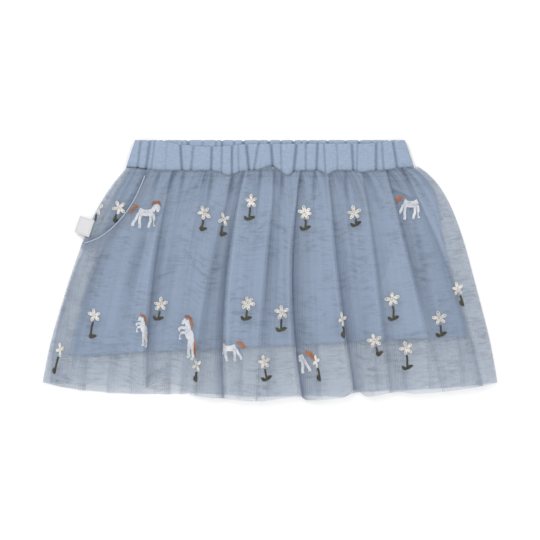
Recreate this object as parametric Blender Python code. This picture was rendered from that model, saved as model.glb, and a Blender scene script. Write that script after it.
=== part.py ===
"""A child's skirt of net over a lining, gathered into an elastic waistband and laid flat on its back.

The frame has +Z up, the waist towards +Y and the wearer's right side at -X. The back panel's flat
stretches rest on z = 0, and the origin is at the middle of the ground plan. Every panel is a wall
between an under and an over surface, both worked out from the tables below. The tables are in
millimetres, and so is every function's argument and result until a mesh point is set.
"""

import math
from collections import namedtuple

import bmesh
import bpy

# Driving dimensions, in millimetres
WAIST_WIDTH = 250.0
BAND_TOP_Y = 121.0
BAND_SEAM_Y = 92.5
BAND_FLARE = 9.4
CLOTH = 1.0
BAND_THICK = 3.0
SEAM_GAP = 0.3
MM = 0.001

# Heights at which the fold tables give their values
WAIST_Y = 92.0
MIDDLE_Y = 10.0
HEM_Y = -112.0

# How far the folds stand up, at the waist, the middle and the hem
FRONT_FOLD = (0.5, 6.0, 5.6)
BACK_FOLD = (0.4, 2.4, 2.0)
STACK_MARGIN = 0.3
LAYER = CLOTH + SEAM_GAP
STEEP_SIDE = 4.4
FOLD_FAN = (0.5, 1.0, 1.2)
WALL_LIMIT = 3.0
SLOPE_STEP = 0.5

# Distance over which the layers close together at the side seams
SIDE_CLOSE = 24.0
SIDE_ROUND = 18.0
PUFF_DROP = 26.0

# Lining
LINING_INSET = 20.0
LINING_WAIST_INSET = 7.0
LINING_FLARE_DROP = 70.0
LINING_HEM_LEFT = -79.0
LINING_HEM_RIGHT = -61.0
LINING_SETTLE = 34.0
LINING_SETTLE_START = 2.0
LINING_SETTLE_SHARE = 0.6
LINING_CLEAR_SHARE = 0.6
LINING_FRONT_DROP = 5.0

# Pocket mouth on the wearer's right front, with the facing under it and the binding on its edge
FACING_TUCK = 5.0
FACING_END_Y = 20.0
FACING_PUFF = 2.2
MOUTH_REACH = -60.0
MOUTH_LIFT_FLAT = 9.0
MOUTH_LIFT_FADE = 14.0
MOUTH_PUFF_SHARE = 0.15
MOUTH_PUFF_FADE = 16.0
BINDING_WIDE = 2.0
BINDING_THICK = 1.3
BINDING_ENDS = (0.145, 0.875)

# Woven side label, folded in two: along the seam, out from the seam, and its lie
LABEL_LONG = 16.5
LABEL_OUT = 14.5
LABEL_TILT = math.radians(-19.0)
LABEL_PLACE = (-172.0, 40.9)
LABEL_THICK = 1.2
LABEL_DROOP = 0.19

Side = namedtuple("Side", "y left right")
SKIRT_SIDES = (
    Side(98.0, 132.4, 136.0),
    Side(92.0, 136.4, 144.6),
    Side(84.0, 143.0, 153.0),
    Side(74.0, 150.5, 160.5),
    Side(58.0, 160.2, 169.0),
    Side(40.0, 169.0, 176.0),
    Side(20.0, 176.5, 182.4),
    Side(-7.0, 186.0, 189.6),
    Side(-35.0, 194.6, 197.0),
    Side(-65.0, 203.4, 204.4),
    Side(-90.0, 208.8, 209.2),
    Side(-104.2, 211.4, 211.4),
    Side(-121.0, 213.0, 213.0),
)

Hem = namedtuple("Hem", "x front back")
HEM_LINE = (
    Hem(-211.4, -104.2, -104.2),
    Hem(-191.7, -105.0, -108.8),
    Hem(-160.0, -105.6, -112.7),
    Hem(-136.0, -107.0, -114.4),
    Hem(-120.0, -111.0, -114.8),
    Hem(-104.6, -103.6, -114.9),
    Hem(-90.7, -102.9, -114.8),
    Hem(-80.6, -106.5, -114.6),
    Hem(-72.0, -115.6, -114.2),
    Hem(-42.6, -118.6, -115.6),
    Hem(-12.0, -121.0, -117.4),
    Hem(16.7, -117.6, -117.0),
    Hem(27.8, -116.8, -116.4),
    Hem(34.0, -120.2, -116.2),
    Hem(67.6, -117.6, -117.8),
    Hem(79.6, -110.9, -113.4),
    Hem(89.5, -116.5, -112.6),
    Hem(120.4, -112.6, -111.6),
    Hem(134.0, -113.9, -111.0),
    Hem(182.4, -109.3, -107.8),
    Hem(211.4, -104.2, -104.2),
)

# The waist seam sinks where gathers pull it, and rises between them
Dip = namedtuple("Dip", "x depth width")
SEAM_DIPS = (
    Dip(-38.0, 4.4, 9.0),
    Dip(0.0, -4.2, 8.0),
    Dip(16.0, 4.4, 6.0),
    Dip(53.0, 3.6, 4.5),
    Dip(86.0, 1.6, 5.0),
)
SEAM_END_RISE = 3.2
SEAM_END_START = 100.0
SEAM_END_RUN = 32.0

# How far the front band's top edge lies below the back band's
Edge = namedtuple("Edge", "x drop")
FRONT_TOP_EDGE = (
    Edge(-130.0, 0.0),
    Edge(-104.0, 0.8),
    Edge(-78.0, 4.6),
    Edge(-54.0, 6.0),
    Edge(-16.0, 3.6),
    Edge(40.0, 3.4),
    Edge(90.0, 3.2),
    Edge(112.0, 0.9),
    Edge(130.0, 0.0),
)

# Front folds: the valley's place and depth at the three heights, the side that is steep and the
# width of the other side at the middle height
Crease = namedtuple("Crease", "waist middle hem deep_waist deep_middle deep_hem steep soft")
LEFT, RIGHT = -1, 1
FRONT_CREASES = (
    Crease(-128.0, -176.0, -203.0, 0.1, 0.6, 1.8, LEFT, 8.0),
    Crease(-115.0, -158.0, -184.0, 0.1, 1.8, 0.3, LEFT, 11.0),
    Crease(-102.0, -121.0, -146.0, 0.4, 3.6, 0.0, RIGHT, 10.0),
    Crease(-90.0, -105.6, -114.0, 0.5, 6.0, 5.4, LEFT, 10.0),
    Crease(-79.6, -93.0, -100.0, 0.5, 0.8, 0.0, LEFT, 5.0),
    Crease(-59.0, -76.0, -90.0, 0.5, 1.4, 0.0, LEFT, 8.0),
    Crease(-53.0, -65.0, -79.0, 0.4, 0.0, 0.0, RIGHT, 5.0),
    Crease(-33.4, -51.0, -69.0, 0.5, 4.4, 4.0, LEFT, 12.0),
    Crease(-24.0, -38.9, -43.5, 0.5, 5.6, 5.0, RIGHT, 8.0),
    Crease(-8.0, -17.0, -26.0, 0.4, 0.5, 0.0, RIGHT, 6.0),
    Crease(4.6, -1.4, -12.0, 0.5, 5.2, 1.6, LEFT, 13.0),
    Crease(12.5, 7.0, 2.0, 0.5, 0.8, 0.0, RIGHT, 6.0),
    Crease(28.7, 21.3, 29.6, 0.5, 4.4, 5.6, LEFT, 11.0),
    Crease(42.0, 41.0, 52.0, 0.4, 0.5, 0.0, RIGHT, 6.0),
    Crease(54.6, 62.5, 78.5, 0.5, 5.6, 5.4, LEFT, 12.0),
    Crease(70.0, 79.0, 95.0, 0.4, 0.6, 0.4, RIGHT, 6.0),
    Crease(86.0, 98.3, 111.8, 0.5, 3.4, 4.6, LEFT, 13.0),
    Crease(108.3, 130.0, 160.0, 0.5, 6.0, 1.0, LEFT, 22.0),
    Crease(124.0, 161.0, 197.0, 0.4, 2.2, 2.0, RIGHT, 9.0),
)
WAIST_DEPTH = 4.6
WAIST_DEPTH_DROP = 40.0

# Back folds follow one rule: even places, shifted and deepened by slow waves
Wave = namedtuple("Wave", "size rate start")
BACK_COUNT = 15
BACK_REACH = 124.0
BACK_FAN = 1.52
BACK_FAN_MIDDLE = 1.32
BACK_SOFT = 10.0
BACK_WAIST_SWAY = Wave(3.0, 2.7, 0.0)
BACK_MIDDLE_SWAY = Wave(3.0, 1.9, 1.0)
BACK_HEM_SWAY = Wave(3.0, 2.3, 1.6)
BACK_DEPTH = 0.72
BACK_DEPTH_SWAY = Wave(0.28, 2.2, 0.6)

# Pocket mouth from the waist seam to the side seam
Mouth = namedtuple("Mouth", "x y")
POCKET_MOUTH = (
    Mouth(-113.5, 104.0),
    Mouth(-114.8, 90.0),
    Mouth(-119.6, 77.0),
    Mouth(-127.0, 62.0),
    Mouth(-137.5, 47.5),
    Mouth(-148.5, 36.5),
    Mouth(-160.5, 28.6),
    Mouth(-172.0, 25.0),
    Mouth(-186.0, 24.0),
)
MOUTH_STEPS = 22
MOUTH_SAMPLES = 90
CUT_OUTSIDE = 40.0
CUT_TALL = 40.0
WELD = 0.00001

# Folds of the facing, which fan from the waist seam to the side seam
FACING_CREASES = (
    Crease(-130.5, -171.0, -190.0, 0.7, 0.8, 0.0, LEFT, 6.0),
    Crease(-124.0, -159.0, -180.0, 0.5, 0.5, 0.0, RIGHT, 6.0),
)

# Gathers pressed into the casing of each band
BAND_CREASES = 25
BAND_CREASE_DEEP = 0.9
BAND_CREASE_WIDE = 3.4
BAND_PLACE_SWAY = Wave(2.0, 2.1, 0.0)
BAND_LEAN_SWAY = Wave(1.6, 3.1, 0.4)
BAND_DEPTH = 0.65
BAND_DEPTH_SWAY = Wave(0.35, 1.7, 1.1)
BAND_SCALLOP = 0.8
BAND_SIDE_ROUND = 6.0
BAND_SIDE_SHARE = 0.5

# Mesh columns, those between two folds or over the whole piece, and rows as shares of its length
FRONT_COLUMNS = 6
FRONT_ROWS = (0.0, 0.018, 0.05, 0.1, 0.17, 0.27, 0.4, 0.54, 0.65, 0.74, 0.84, 0.92, 1.0)
BACK_COLUMNS = 5
BACK_ROWS = (0.0, 0.04, 0.11, 0.24, 0.42, 0.6, 0.8, 1.0)
LINING_GRID = (34, (0.0, 0.06, 0.16, 0.3, 0.48, 0.74, 1.0))
BAND_GRID = (92, (0.0, 0.5, 1.0))
FACING_GRID = (20, (0.0, 0.06, 0.15, 0.28, 0.42, 0.56, 0.7, 0.85, 1.0))
BINDING_GRID = (1, tuple(k / 26 for k in range(27)))
LABEL_GRID = (4, (0.0, 0.34, 0.67, 1.0))
BUNCHING = 0.1

Finish = namedtuple("Finish", "colour roughness")
NET = Finish((0.27, 0.36, 0.49), 0.72)
LINING_VOILE = Finish((0.24, 0.34, 0.50), 0.80)
BAND_POPLIN = Finish((0.33, 0.41, 0.53), 0.84)
LABEL_TAPE = Finish((0.84, 0.83, 0.84), 0.70)


def clear_scene():
    """Removes every object that the file opened with."""
    for item in list(bpy.data.objects):
        bpy.data.objects.remove(item, do_unlink=True)


def collection_named(name):
    """A new collection linked to the scene."""
    made = bpy.data.collections.new(name)
    bpy.context.scene.collection.children.link(made)
    return made


def ease(value):
    """Smooth step from 0 to 1."""
    t = min(max(value, 0.0), 1.0)
    return t * t * (3.0 - 2.0 * t)


def rounded(value):
    """Quarter circle that rises steeply from 0 and levels at 1."""
    t = min(max(value, 0.0), 1.0)
    return math.sqrt(1.0 - (1.0 - t) ** 2)


def hump(away):
    """Smooth hump that is 1 at 0 and falls to 0 at 1."""
    return 0.5 * (1.0 + math.cos(math.pi * min(abs(away), 1.0)))


def sway(wave, k):
    """A slow wave's value for the item numbered k."""
    return wave.size * math.sin(wave.rate * k + wave.start)


def mix(low, high, share):
    """The value that lies share of the way from low to high."""
    return low + (high - low) * share


def curve_through(keys, values, at):
    """Smooth curve through a table's points, with keys in rising order."""
    last = len(keys) - 1
    if at <= keys[0]:
        return values[0]
    if at >= keys[last]:
        return values[last]
    i = next(k for k in range(last) if at <= keys[k + 1])
    span = keys[i + 1] - keys[i]
    rise = (values[i + 1] - values[i]) / span

    def slope(k):
        if k in (0, last):
            return rise
        before = (values[k] - values[k - 1]) / (keys[k] - keys[k - 1])
        after = (values[k + 1] - values[k]) / (keys[k + 1] - keys[k])
        return 0.0 if before * after <= 0.0 else 2.0 * before * after / (before + after)

    t = (at - keys[i]) / span
    start = values[i] + slope(i) * span * t * (1.0 - t) ** 2
    end = -slope(i + 1) * span * t * t * (1.0 - t)
    return start + end + (values[i + 1] - values[i]) * t * t * (3.0 - 2.0 * t)


def at_three(values, y):
    """Value at height y of what a table gives at the waist, the middle and the hem."""
    if y >= MIDDLE_Y:
        return mix(values[1], values[0], ease((y - MIDDLE_Y) / (WAIST_Y - MIDDLE_Y)))
    return mix(values[1], values[2], ease((MIDDLE_Y - y) / (MIDDLE_Y - HEM_Y)))


def through_three(values, y):
    """Parabola through a place's values at the waist, the middle and the hem."""
    a, b, c = WAIST_Y, MIDDLE_Y, HEM_Y
    first = values[0] * (y - b) * (y - c) / ((a - b) * (a - c))
    second = values[1] * (y - a) * (y - c) / ((b - a) * (b - c))
    third = values[2] * (y - a) * (y - b) / ((c - a) * (c - b))
    return first + second + third


def side_edges(y):
    """The x of the left and right side seams at height y."""
    rising = SKIRT_SIDES[::-1]
    keys = [row.y for row in rising]
    left = curve_through(keys, [row.left for row in rising], y)
    right = curve_through(keys, [row.right for row in rising], y)
    return -left, right


def from_side(x, y):
    """Distance in from the nearer side seam."""
    left, right = side_edges(y)
    return max(0.0, min(x - left, right - x))


def hem_y(x, layer):
    """The hem's y at x on the front or the back."""
    return curve_through([row.x for row in HEM_LINE], [getattr(row, layer) for row in HEM_LINE], x)


def back_seam_y(x):
    """The back waist seam's y, which rises a little towards its ends."""
    return BAND_SEAM_Y + SEAM_END_RISE * ease((abs(x) - SEAM_END_START) / SEAM_END_RUN)


def seam_y(x):
    """The front waist seam's y, with its dips at the gathers."""
    dips = (dip.depth * math.exp(-(((x - dip.x) / dip.width) ** 2)) for dip in SEAM_DIPS)
    return back_seam_y(x) - sum(dips)


def lining_hem_y(x):
    """The lining's hem, which hangs a little lower at the left."""
    left, right = side_edges(MIDDLE_Y)
    return mix(LINING_HEM_LEFT, LINING_HEM_RIGHT, (x - left) / (right - left))


def lining_inset(y):
    """How far the lining's sides lie inside the net's."""
    return mix(LINING_WAIST_INSET, LINING_INSET, ease((WAIST_Y - y) / LINING_FLARE_DROP))


def back_creases():
    """The back panel's folds."""
    rows = []
    for k in range(BACK_COUNT):
        place = mix(-BACK_REACH, BACK_REACH, (k + 0.5) / BACK_COUNT)
        waist = place + sway(BACK_WAIST_SWAY, k)
        middle = waist * BACK_FAN_MIDDLE + sway(BACK_MIDDLE_SWAY, k)
        hem = waist * BACK_FAN + sway(BACK_HEM_SWAY, k)
        depth = BACK_DEPTH + sway(BACK_DEPTH_SWAY, k)
        steep = LEFT if k % 3 else RIGHT
        depths = [depth * fold for fold in BACK_FOLD]
        rows.append(Crease(waist, middle, hem, *depths, steep, BACK_SOFT))
    return tuple(rows)


BACK_CREASES = back_creases()


def place_at(crease, y):
    """The x of a fold's valley at height y."""
    return through_three((crease.waist, crease.middle, crease.hem), y)


def fold_column(creases, across, y):
    """The x of a mesh column, which keeps its place between two folds and bunches up to them."""
    left, right = side_edges(y)
    guides = [left] + [place_at(crease, y) for crease in creases] + [right]
    spot = round(across * (len(guides) - 1), 4)
    k = min(int(spot), len(guides) - 2)
    t = spot - k
    return mix(guides[k], guides[k + 1], t - BUNCHING * math.sin(2.0 * math.pi * t))


def fan(y):
    """How much wider a fold is than at the middle height."""
    return at_three(FOLD_FAN, y)


def crease_depths(crease, y):
    """The depth of a fold's valley at height y."""
    return at_three((crease.deep_waist, crease.deep_middle, crease.deep_hem), y)


def notch(crease, x, y):
    """How deep a fold's valley is at a point, as a share of its own depth."""
    away = x - place_at(crease, y)
    steep = away * crease.steep > 0.0
    reach = (STEEP_SIDE if steep else crease.soft) * fan(y)
    return hump(away / reach)


def folded_share(creases, x, y, full):
    """Share of the full fold height that the valleys take away at a point."""
    left = 1.0
    for crease in creases:
        depth = min(crease_depths(crease, y) / full, 1.0)
        left *= 1.0 - depth * notch(crease, x, y)
    return 1.0 - left


def gather_share(x, y):
    """Share that the short gathers under the waist seam take away from the puff."""
    drop = WAIST_Y - y
    fade = 1.0 - ease(drop / WAIST_DEPTH_DROP)
    if fade <= 0.0:
        return 0.0
    left = 1.0
    for crease in FRONT_CREASES:
        left *= 1.0 - fade * notch(crease, x, y)
    return 1.0 - left


def back_fold(y):
    """Height of the back panel's folds."""
    return at_three(BACK_FOLD, y)


def back_under(x, y):
    """Underside of the back panel: flat on the surface, and lifted only in its folds."""
    full = back_fold(y)
    close = ease(from_side(x, y) / SIDE_CLOSE)
    return full * close * folded_share(BACK_CREASES, x, y, full)


def over_back(x, y):
    """Lowest height at which a layer clears the back panel."""
    close = ease(from_side(x, y) / SIDE_CLOSE)
    return CLOTH + SEAM_GAP + (back_fold(y) + STACK_MARGIN) * close


def lining_under(x, y, layer):
    """Underside of the back lining, layer 0, or the front lining, layer 1."""
    return over_back(x, y) + layer * LAYER


def over_lining(x, y):
    """Lowest height at which a layer clears the lining, which it settles past at sides and hem."""
    sides = rounded(from_side(x, y) / (LINING_CLEAR_SHARE * lining_inset(y)))
    below = lining_hem_y(x) - LINING_SETTLE_START - y
    past_hem = 1.0 - LINING_SETTLE_SHARE * ease(below / LINING_SETTLE)
    return over_back(x, y) + (2.0 * LAYER + STACK_MARGIN) * sides * past_hem


def mouth_at(share):
    """Point of the pocket mouth at a share of the way along its table."""
    steps = list(range(len(POCKET_MOUTH)))
    x = curve_through(steps, [row.x for row in POCKET_MOUTH], share * steps[-1])
    y = curve_through(steps, [row.y for row in POCKET_MOUTH], share * steps[-1])
    return x, y


def mouth_point(share, inward=0.0):
    """Point of the pocket mouth, or one that lies inward from it, under the front."""
    x, y = mouth_at(share)
    behind = mouth_at(max(share - 1.0 / MOUTH_SAMPLES, 0.0))
    ahead = mouth_at(min(share + 1.0 / MOUTH_SAMPLES, 1.0))
    run_x, run_y = ahead[0] - behind[0], ahead[1] - behind[1]
    length = math.hypot(run_x, run_y)
    return x - run_y / length * inward, y + run_x / length * inward


MOUTH_POINTS = [mouth_at(k / MOUTH_SAMPLES) for k in range(MOUTH_SAMPLES + 1)]


def mouth_x(y):
    """The pocket mouth's x at height y."""
    rising = POCKET_MOUTH[::-1]
    return curve_through([row.y for row in rising], [row.x for row in rising], y)


def from_mouth(x, y):
    """Distance from the pocket mouth: above 0 under the front, and below 0 in the mouth."""
    if x > MOUTH_REACH:
        return x - MOUTH_POINTS[0][0]
    nearest = min(math.hypot(x - spot[0], y - spot[1]) for spot in MOUTH_POINTS)
    return nearest if x > mouth_x(y) else -nearest


def over_facing(x, y):
    """Lowest height at which the front clears the lining and the pocket facing."""
    lift = 1.0 - ease((from_mouth(x, y) - MOUTH_LIFT_FLAT) / MOUTH_LIFT_FADE)
    return over_lining(x, y) + LAYER * lift


def facing_under(x, y):
    """Underside of the pocket facing, which puffs up a little inside the mouth."""
    sides = rounded(from_side(x, y) / SIDE_ROUND)
    puff = FACING_PUFF * sides * ease(-from_mouth(x, y) / MOUTH_LIFT_FLAT)
    return over_lining(x, y) + puff * (1.0 - folded_share(FACING_CREASES, x, y, 1.0))


def front_puff(x, y):
    """How high the front's cloth stands over what it lies on, before its valleys."""
    drop = max(0.0, seam_y(x) - y)
    start = WAIST_DEPTH * rounded(drop / PUFF_DROP)
    full = FRONT_FOLD[0] + mix(start, at_three(FRONT_FOLD, y), ease(drop / WAIST_DEPTH_DROP))
    mouth = mix(MOUTH_PUFF_SHARE, 1.0, ease(from_mouth(x, y) / MOUTH_PUFF_FADE))
    return full * mouth * rounded(from_side(x, y) / SIDE_ROUND)


def front_under(x, y):
    """Underside of the front panel."""
    folds = folded_share(FRONT_CREASES, x, y, FRONT_FOLD[1])
    return over_facing(x, y) + front_puff(x, y) * (1.0 - max(folds, gather_share(x, y)))


def wall_height(under, x, y):
    """Upright thickness of a wall that is one cloth thick across its slope."""
    slope_x = (under(x + SLOPE_STEP, y) - under(x - SLOPE_STEP, y)) / (2.0 * SLOPE_STEP)
    slope_y = (under(x, y + SLOPE_STEP) - under(x, y - SLOPE_STEP)) / (2.0 * SLOPE_STEP)
    return CLOTH * min(math.sqrt(1.0 + slope_x**2 + slope_y**2), WALL_LIMIT)


def slab(name, grid, finish, surface, home):
    """A closed wall from a grid that is extruded once and then shaped.

    surface(across, down, over) gives the point for shares across and down, in millimetres, on the
    under side, where over is 0, or on the over side, where over is 1.
    """
    columns, downs = grid
    rows = len(downs) - 1
    mesh = bpy.data.meshes.new(name)
    work = bmesh.new()
    bmesh.ops.create_grid(work, x_segments=columns, y_segments=rows, size=0.5)
    lifted = bmesh.ops.extrude_face_region(work, geom=work.faces[:])
    for item in lifted["geom"]:
        if isinstance(item, bmesh.types.BMVert):
            item.co.z = 1.0
    for vert in work.verts:
        across = vert.co.x + 0.5
        row = round((0.5 - vert.co.y) * rows)
        x, y, z = surface(across, downs[row], round(vert.co.z))
        vert.co = (x * MM, y * MM, z * MM)
    bmesh.ops.triangulate(work, faces=work.faces[:])
    bmesh.ops.recalc_face_normals(work, faces=work.faces[:])
    work.to_mesh(mesh)
    work.free()
    mesh.materials.append(material(name, finish))
    made = bpy.data.objects.new(name, mesh)
    home.objects.link(made)
    return made


def material(name, finish):
    """Principled material with the cloth's colour and roughness."""
    made = bpy.data.materials.new(name)
    made.use_nodes = True
    shader = made.node_tree.nodes["Principled BSDF"]
    shader.inputs["Base Color"].default_value = (*finish.colour, 1.0)
    shader.inputs["Roughness"].default_value = finish.roughness
    shader.inputs["Metallic"].default_value = 0.0
    return made


def panel_plan(creases, across, down, top, layer):
    """Ground plan of a skirt panel: x and y for shares across and down it."""
    y_near = top(fold_column(creases, across, BAND_SEAM_Y))
    y_top = top(fold_column(creases, across, y_near)) - SEAM_GAP
    y_hem = hem_y(fold_column(creases, across, HEM_Y), layer)
    y = mix(y_top, y_hem, down)
    return fold_column(creases, across, y), y


def skirt_front(home):
    """The front panel of net, with its folds."""

    def surface(across, down, over):
        x, y = panel_plan(FRONT_CREASES, across, down, seam_y, "front")
        z = front_under(x, y)
        return x, y, z + over * wall_height(front_under, x, y)

    grid = (FRONT_COLUMNS * (len(FRONT_CREASES) + 1), FRONT_ROWS)
    return slab("skirt_front", grid, NET, surface, home)


def skirt_back(home):
    """The back panel of net, flat where it rests."""

    def surface(across, down, over):
        x, y = panel_plan(BACK_CREASES, across, down, back_seam_y, "back")
        z = back_under(x, y)
        return x, y, z + over * wall_height(back_under, x, y)

    grid = (BACK_COLUMNS * (len(BACK_CREASES) + 1), BACK_ROWS)
    return slab("skirt_back", grid, NET, surface, home)


def lining_panel(name, layer, home):
    """One panel of the lining, inside the net and shorter than it."""

    def surface(across, down, over):
        left, right = side_edges(MIDDLE_Y)
        y_hem = lining_hem_y(mix(left, right, across))
        y_seam = back_seam_y(mix(-WAIST_WIDTH, WAIST_WIDTH, across) / 2.0)
        y = mix(y_seam - SEAM_GAP - layer * LINING_FRONT_DROP, y_hem, down)
        left, right = side_edges(y)
        inset = lining_inset(y)
        bunched = across - BUNCHING * math.sin(2.0 * math.pi * across) / 2.0
        x = mix(left + inset, right - inset, bunched)
        return x, y, lining_under(x, y, layer) + over * CLOTH

    return slab(name, LINING_GRID, LINING_VOILE, surface, home)


def band_sides(y):
    """The x of the waistband's two ends at height y."""
    share = (BAND_TOP_Y - y) / (BAND_TOP_Y - BAND_SEAM_Y)
    half = WAIST_WIDTH / 2.0 + BAND_FLARE * share
    return -half, half


def band_crease(x, y):
    """How far the casing is pressed in by its gathers at a point."""
    left, right = band_sides(y)
    pitch = (right - left) / BAND_CREASES
    deep = 0.0
    for k in range(BAND_CREASES):
        lean = sway(BAND_LEAN_SWAY, k) * (y - BAND_SEAM_Y) / (BAND_TOP_Y - BAND_SEAM_Y)
        place = left + pitch * (k + 0.5) + sway(BAND_PLACE_SWAY, k) + lean
        share = BAND_DEPTH + sway(BAND_DEPTH_SWAY, k)
        deep = max(deep, share * hump((x - place) / BAND_CREASE_WIDE))
    return BAND_CREASE_DEEP * deep


def front_band_top(x):
    """The front band's top edge, which each gather pulls down a little."""
    keys = [row.x for row in FRONT_TOP_EDGE]
    drop = curve_through(keys, [row.drop for row in FRONT_TOP_EDGE], x)
    return BAND_TOP_Y - drop - BAND_SCALLOP * band_crease(x, BAND_TOP_Y)


def back_band_top(x):
    """The back band's top edge, with its own gathers."""
    return BAND_TOP_Y - BAND_SCALLOP * band_crease(-x, BAND_TOP_Y)


def band_plan(across, down, top, bottom):
    """Ground plan of a waistband, with its edges as functions of x."""

    def edge_y(edge, start):
        y_near = edge(mix(*band_sides(start), across))
        return edge(mix(*band_sides(y_near), across))

    y = mix(edge_y(top, BAND_TOP_Y), edge_y(bottom, BAND_SEAM_Y), down)
    return mix(*band_sides(y), across), y


def waistband_front(home):
    """The front half of the casing, gathered on its outer face."""

    def surface(across, down, over):
        x, y = band_plan(across, down, front_band_top, seam_y)
        left, right = band_sides(y)
        ends = rounded(min(x - left, right - x) / BAND_SIDE_ROUND)
        low = BAND_THICK + SEAM_GAP
        high = low + mix(BAND_SIDE_SHARE, 1.0, ends) * BAND_THICK - band_crease(x, y)
        return x, y, high if over else low

    return slab("waistband_front", BAND_GRID, BAND_POPLIN, surface, home)


def waistband_back(home):
    """The back half of the casing, flat where it rests and gathered on its inner face."""

    def surface(across, down, over):
        x, y = band_plan(across, down, back_band_top, back_seam_y)
        left, right = band_sides(y)
        ends = rounded(min(x - left, right - x) / BAND_SIDE_ROUND)
        low = BAND_SIDE_SHARE * BAND_THICK * (1.0 - ends)
        high = BAND_THICK - band_crease(-x, y) * ends
        return x, y, high if over else low

    return slab("waistband_back", BAND_GRID, BAND_POPLIN, surface, home)


def pocket_cutter(home):
    """Prism that cuts the pocket mouth out of the front panel."""
    outline = [mouth_at(k / MOUTH_STEPS) for k in range(MOUTH_STEPS + 1)]
    outline.append((outline[-1][0] - CUT_OUTSIDE, outline[-1][1]))
    outline.append((outline[-1][0], outline[0][1] + CUT_OUTSIDE))
    outline.append((outline[0][0], outline[0][1] + CUT_OUTSIDE))
    curve = bpy.data.curves.new("pocket_mouth_outline", "CURVE")
    curve.dimensions = "2D"
    curve.fill_mode = "BOTH"
    curve.extrude = CUT_TALL * MM
    spline = curve.splines.new("POLY")
    spline.points.add(len(outline) - 1)
    for point, (x, y) in zip(spline.points, outline):
        point.co = (x * MM, y * MM, 0.0, 1.0)
    spline.use_cyclic_u = True
    drawn = bpy.data.objects.new("pocket_mouth_outline", curve)
    home.objects.link(drawn)
    evaluated = drawn.evaluated_get(bpy.context.evaluated_depsgraph_get())
    mesh = bpy.data.meshes.new_from_object(evaluated)
    bpy.data.objects.remove(drawn)
    work = bmesh.new()
    work.from_mesh(mesh)
    bmesh.ops.remove_doubles(work, verts=work.verts[:], dist=WELD)
    bmesh.ops.recalc_face_normals(work, faces=work.faces[:])
    work.to_mesh(mesh)
    work.free()
    cutter = bpy.data.objects.new("pocket_mouth_cutter", mesh)
    cutter.hide_render = True
    cutter.display_type = "WIRE"
    home.objects.link(cutter)
    return cutter


def cut(target, cutter):
    """Cuts one object from another with a Boolean modifier."""
    modifier = target.modifiers.new("pocket_mouth", "BOOLEAN")
    modifier.operation = "DIFFERENCE"
    modifier.object = cutter
    modifier.solver = "EXACT"


def facing_plan(across, down):
    """Ground plan of the facing, from the side seam to a little way under the front."""

    def inner_at(y):
        return mouth_x(y + FACING_TUCK) + FACING_TUCK

    left, _ = side_edges(BAND_SEAM_Y)
    y_top = seam_y(mix(left, inner_at(BAND_SEAM_Y), across)) - SEAM_GAP
    y = mix(y_top, FACING_END_Y, down)
    left, _ = side_edges(y)
    return mix(left, inner_at(y), across), y


def pocket_facing(home):
    """The net facing that shows in the pocket mouth and runs on under the front."""

    def surface(across, down, over):
        x, y = facing_plan(across, down)
        return x, y, facing_under(x, y) + over * CLOTH

    return slab("pocket_facing", FACING_GRID, NET, surface, home)


def pocket_binding(home):
    """The narrow binding sewn to the front's edge along the mouth."""

    def surface(across, down, over):
        share = mix(*BINDING_ENDS, down)
        edge_x, edge_y = mouth_at(share)
        x, y = mouth_point(share, -SEAM_GAP - BINDING_WIDE * (1.0 - across))
        return x, y, front_under(edge_x, edge_y) + over * BINDING_THICK

    return slab("pocket_binding", BINDING_GRID, NET, surface, home)


def side_label(home):
    """The folded tape in the side seam, which lies on the seam's edge and droops outwards."""

    def surface(across, down, over):
        out = mix(-LABEL_OUT, 0.0, across)
        along = mix(LABEL_LONG, -LABEL_LONG, down) / 2.0
        middle = out + LABEL_OUT / 2.0
        x = LABEL_PLACE[0] + middle * math.cos(LABEL_TILT) - along * math.sin(LABEL_TILT)
        y = LABEL_PLACE[1] + middle * math.sin(LABEL_TILT) + along * math.cos(LABEL_TILT)
        inner_x = LABEL_PLACE[0] + LABEL_OUT / 2.0
        z = facing_under(inner_x, LABEL_PLACE[1]) + LAYER + LABEL_DROOP * out
        return x, y, z + over * LABEL_THICK

    return slab("side_label", LABEL_GRID, LABEL_TAPE, surface, home)


def main():
    """Builds the skirt."""
    clear_scene()
    parts = collection_named("embroidered_skirt")
    cutters = collection_named("cutters")
    waistband_back(parts)
    waistband_front(parts)
    skirt_back(parts)
    lining_panel("lining_back", 0, parts)
    lining_panel("lining_front", 1, parts)
    front = skirt_front(parts)
    cut(front, pocket_cutter(cutters))
    pocket_facing(parts)
    pocket_binding(parts)
    side_label(parts)


main()
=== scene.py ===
"""Looks of a child's skirt of embroidered net over a lining, laid flat on a pale floor.

The cloth keeps the form of the fixed frame: the tables and formulas below are the ones that shape its
solids. They are in millimetres, and so is every argument and result until a mesh point is set. The waist
lies towards +Y, the wearer's right side at -X, and +Z is up.
"""

import logging
import math
import random
from dataclasses import dataclass, field
from enum import Enum
from typing import Callable, NamedTuple, Sequence, Union

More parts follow.
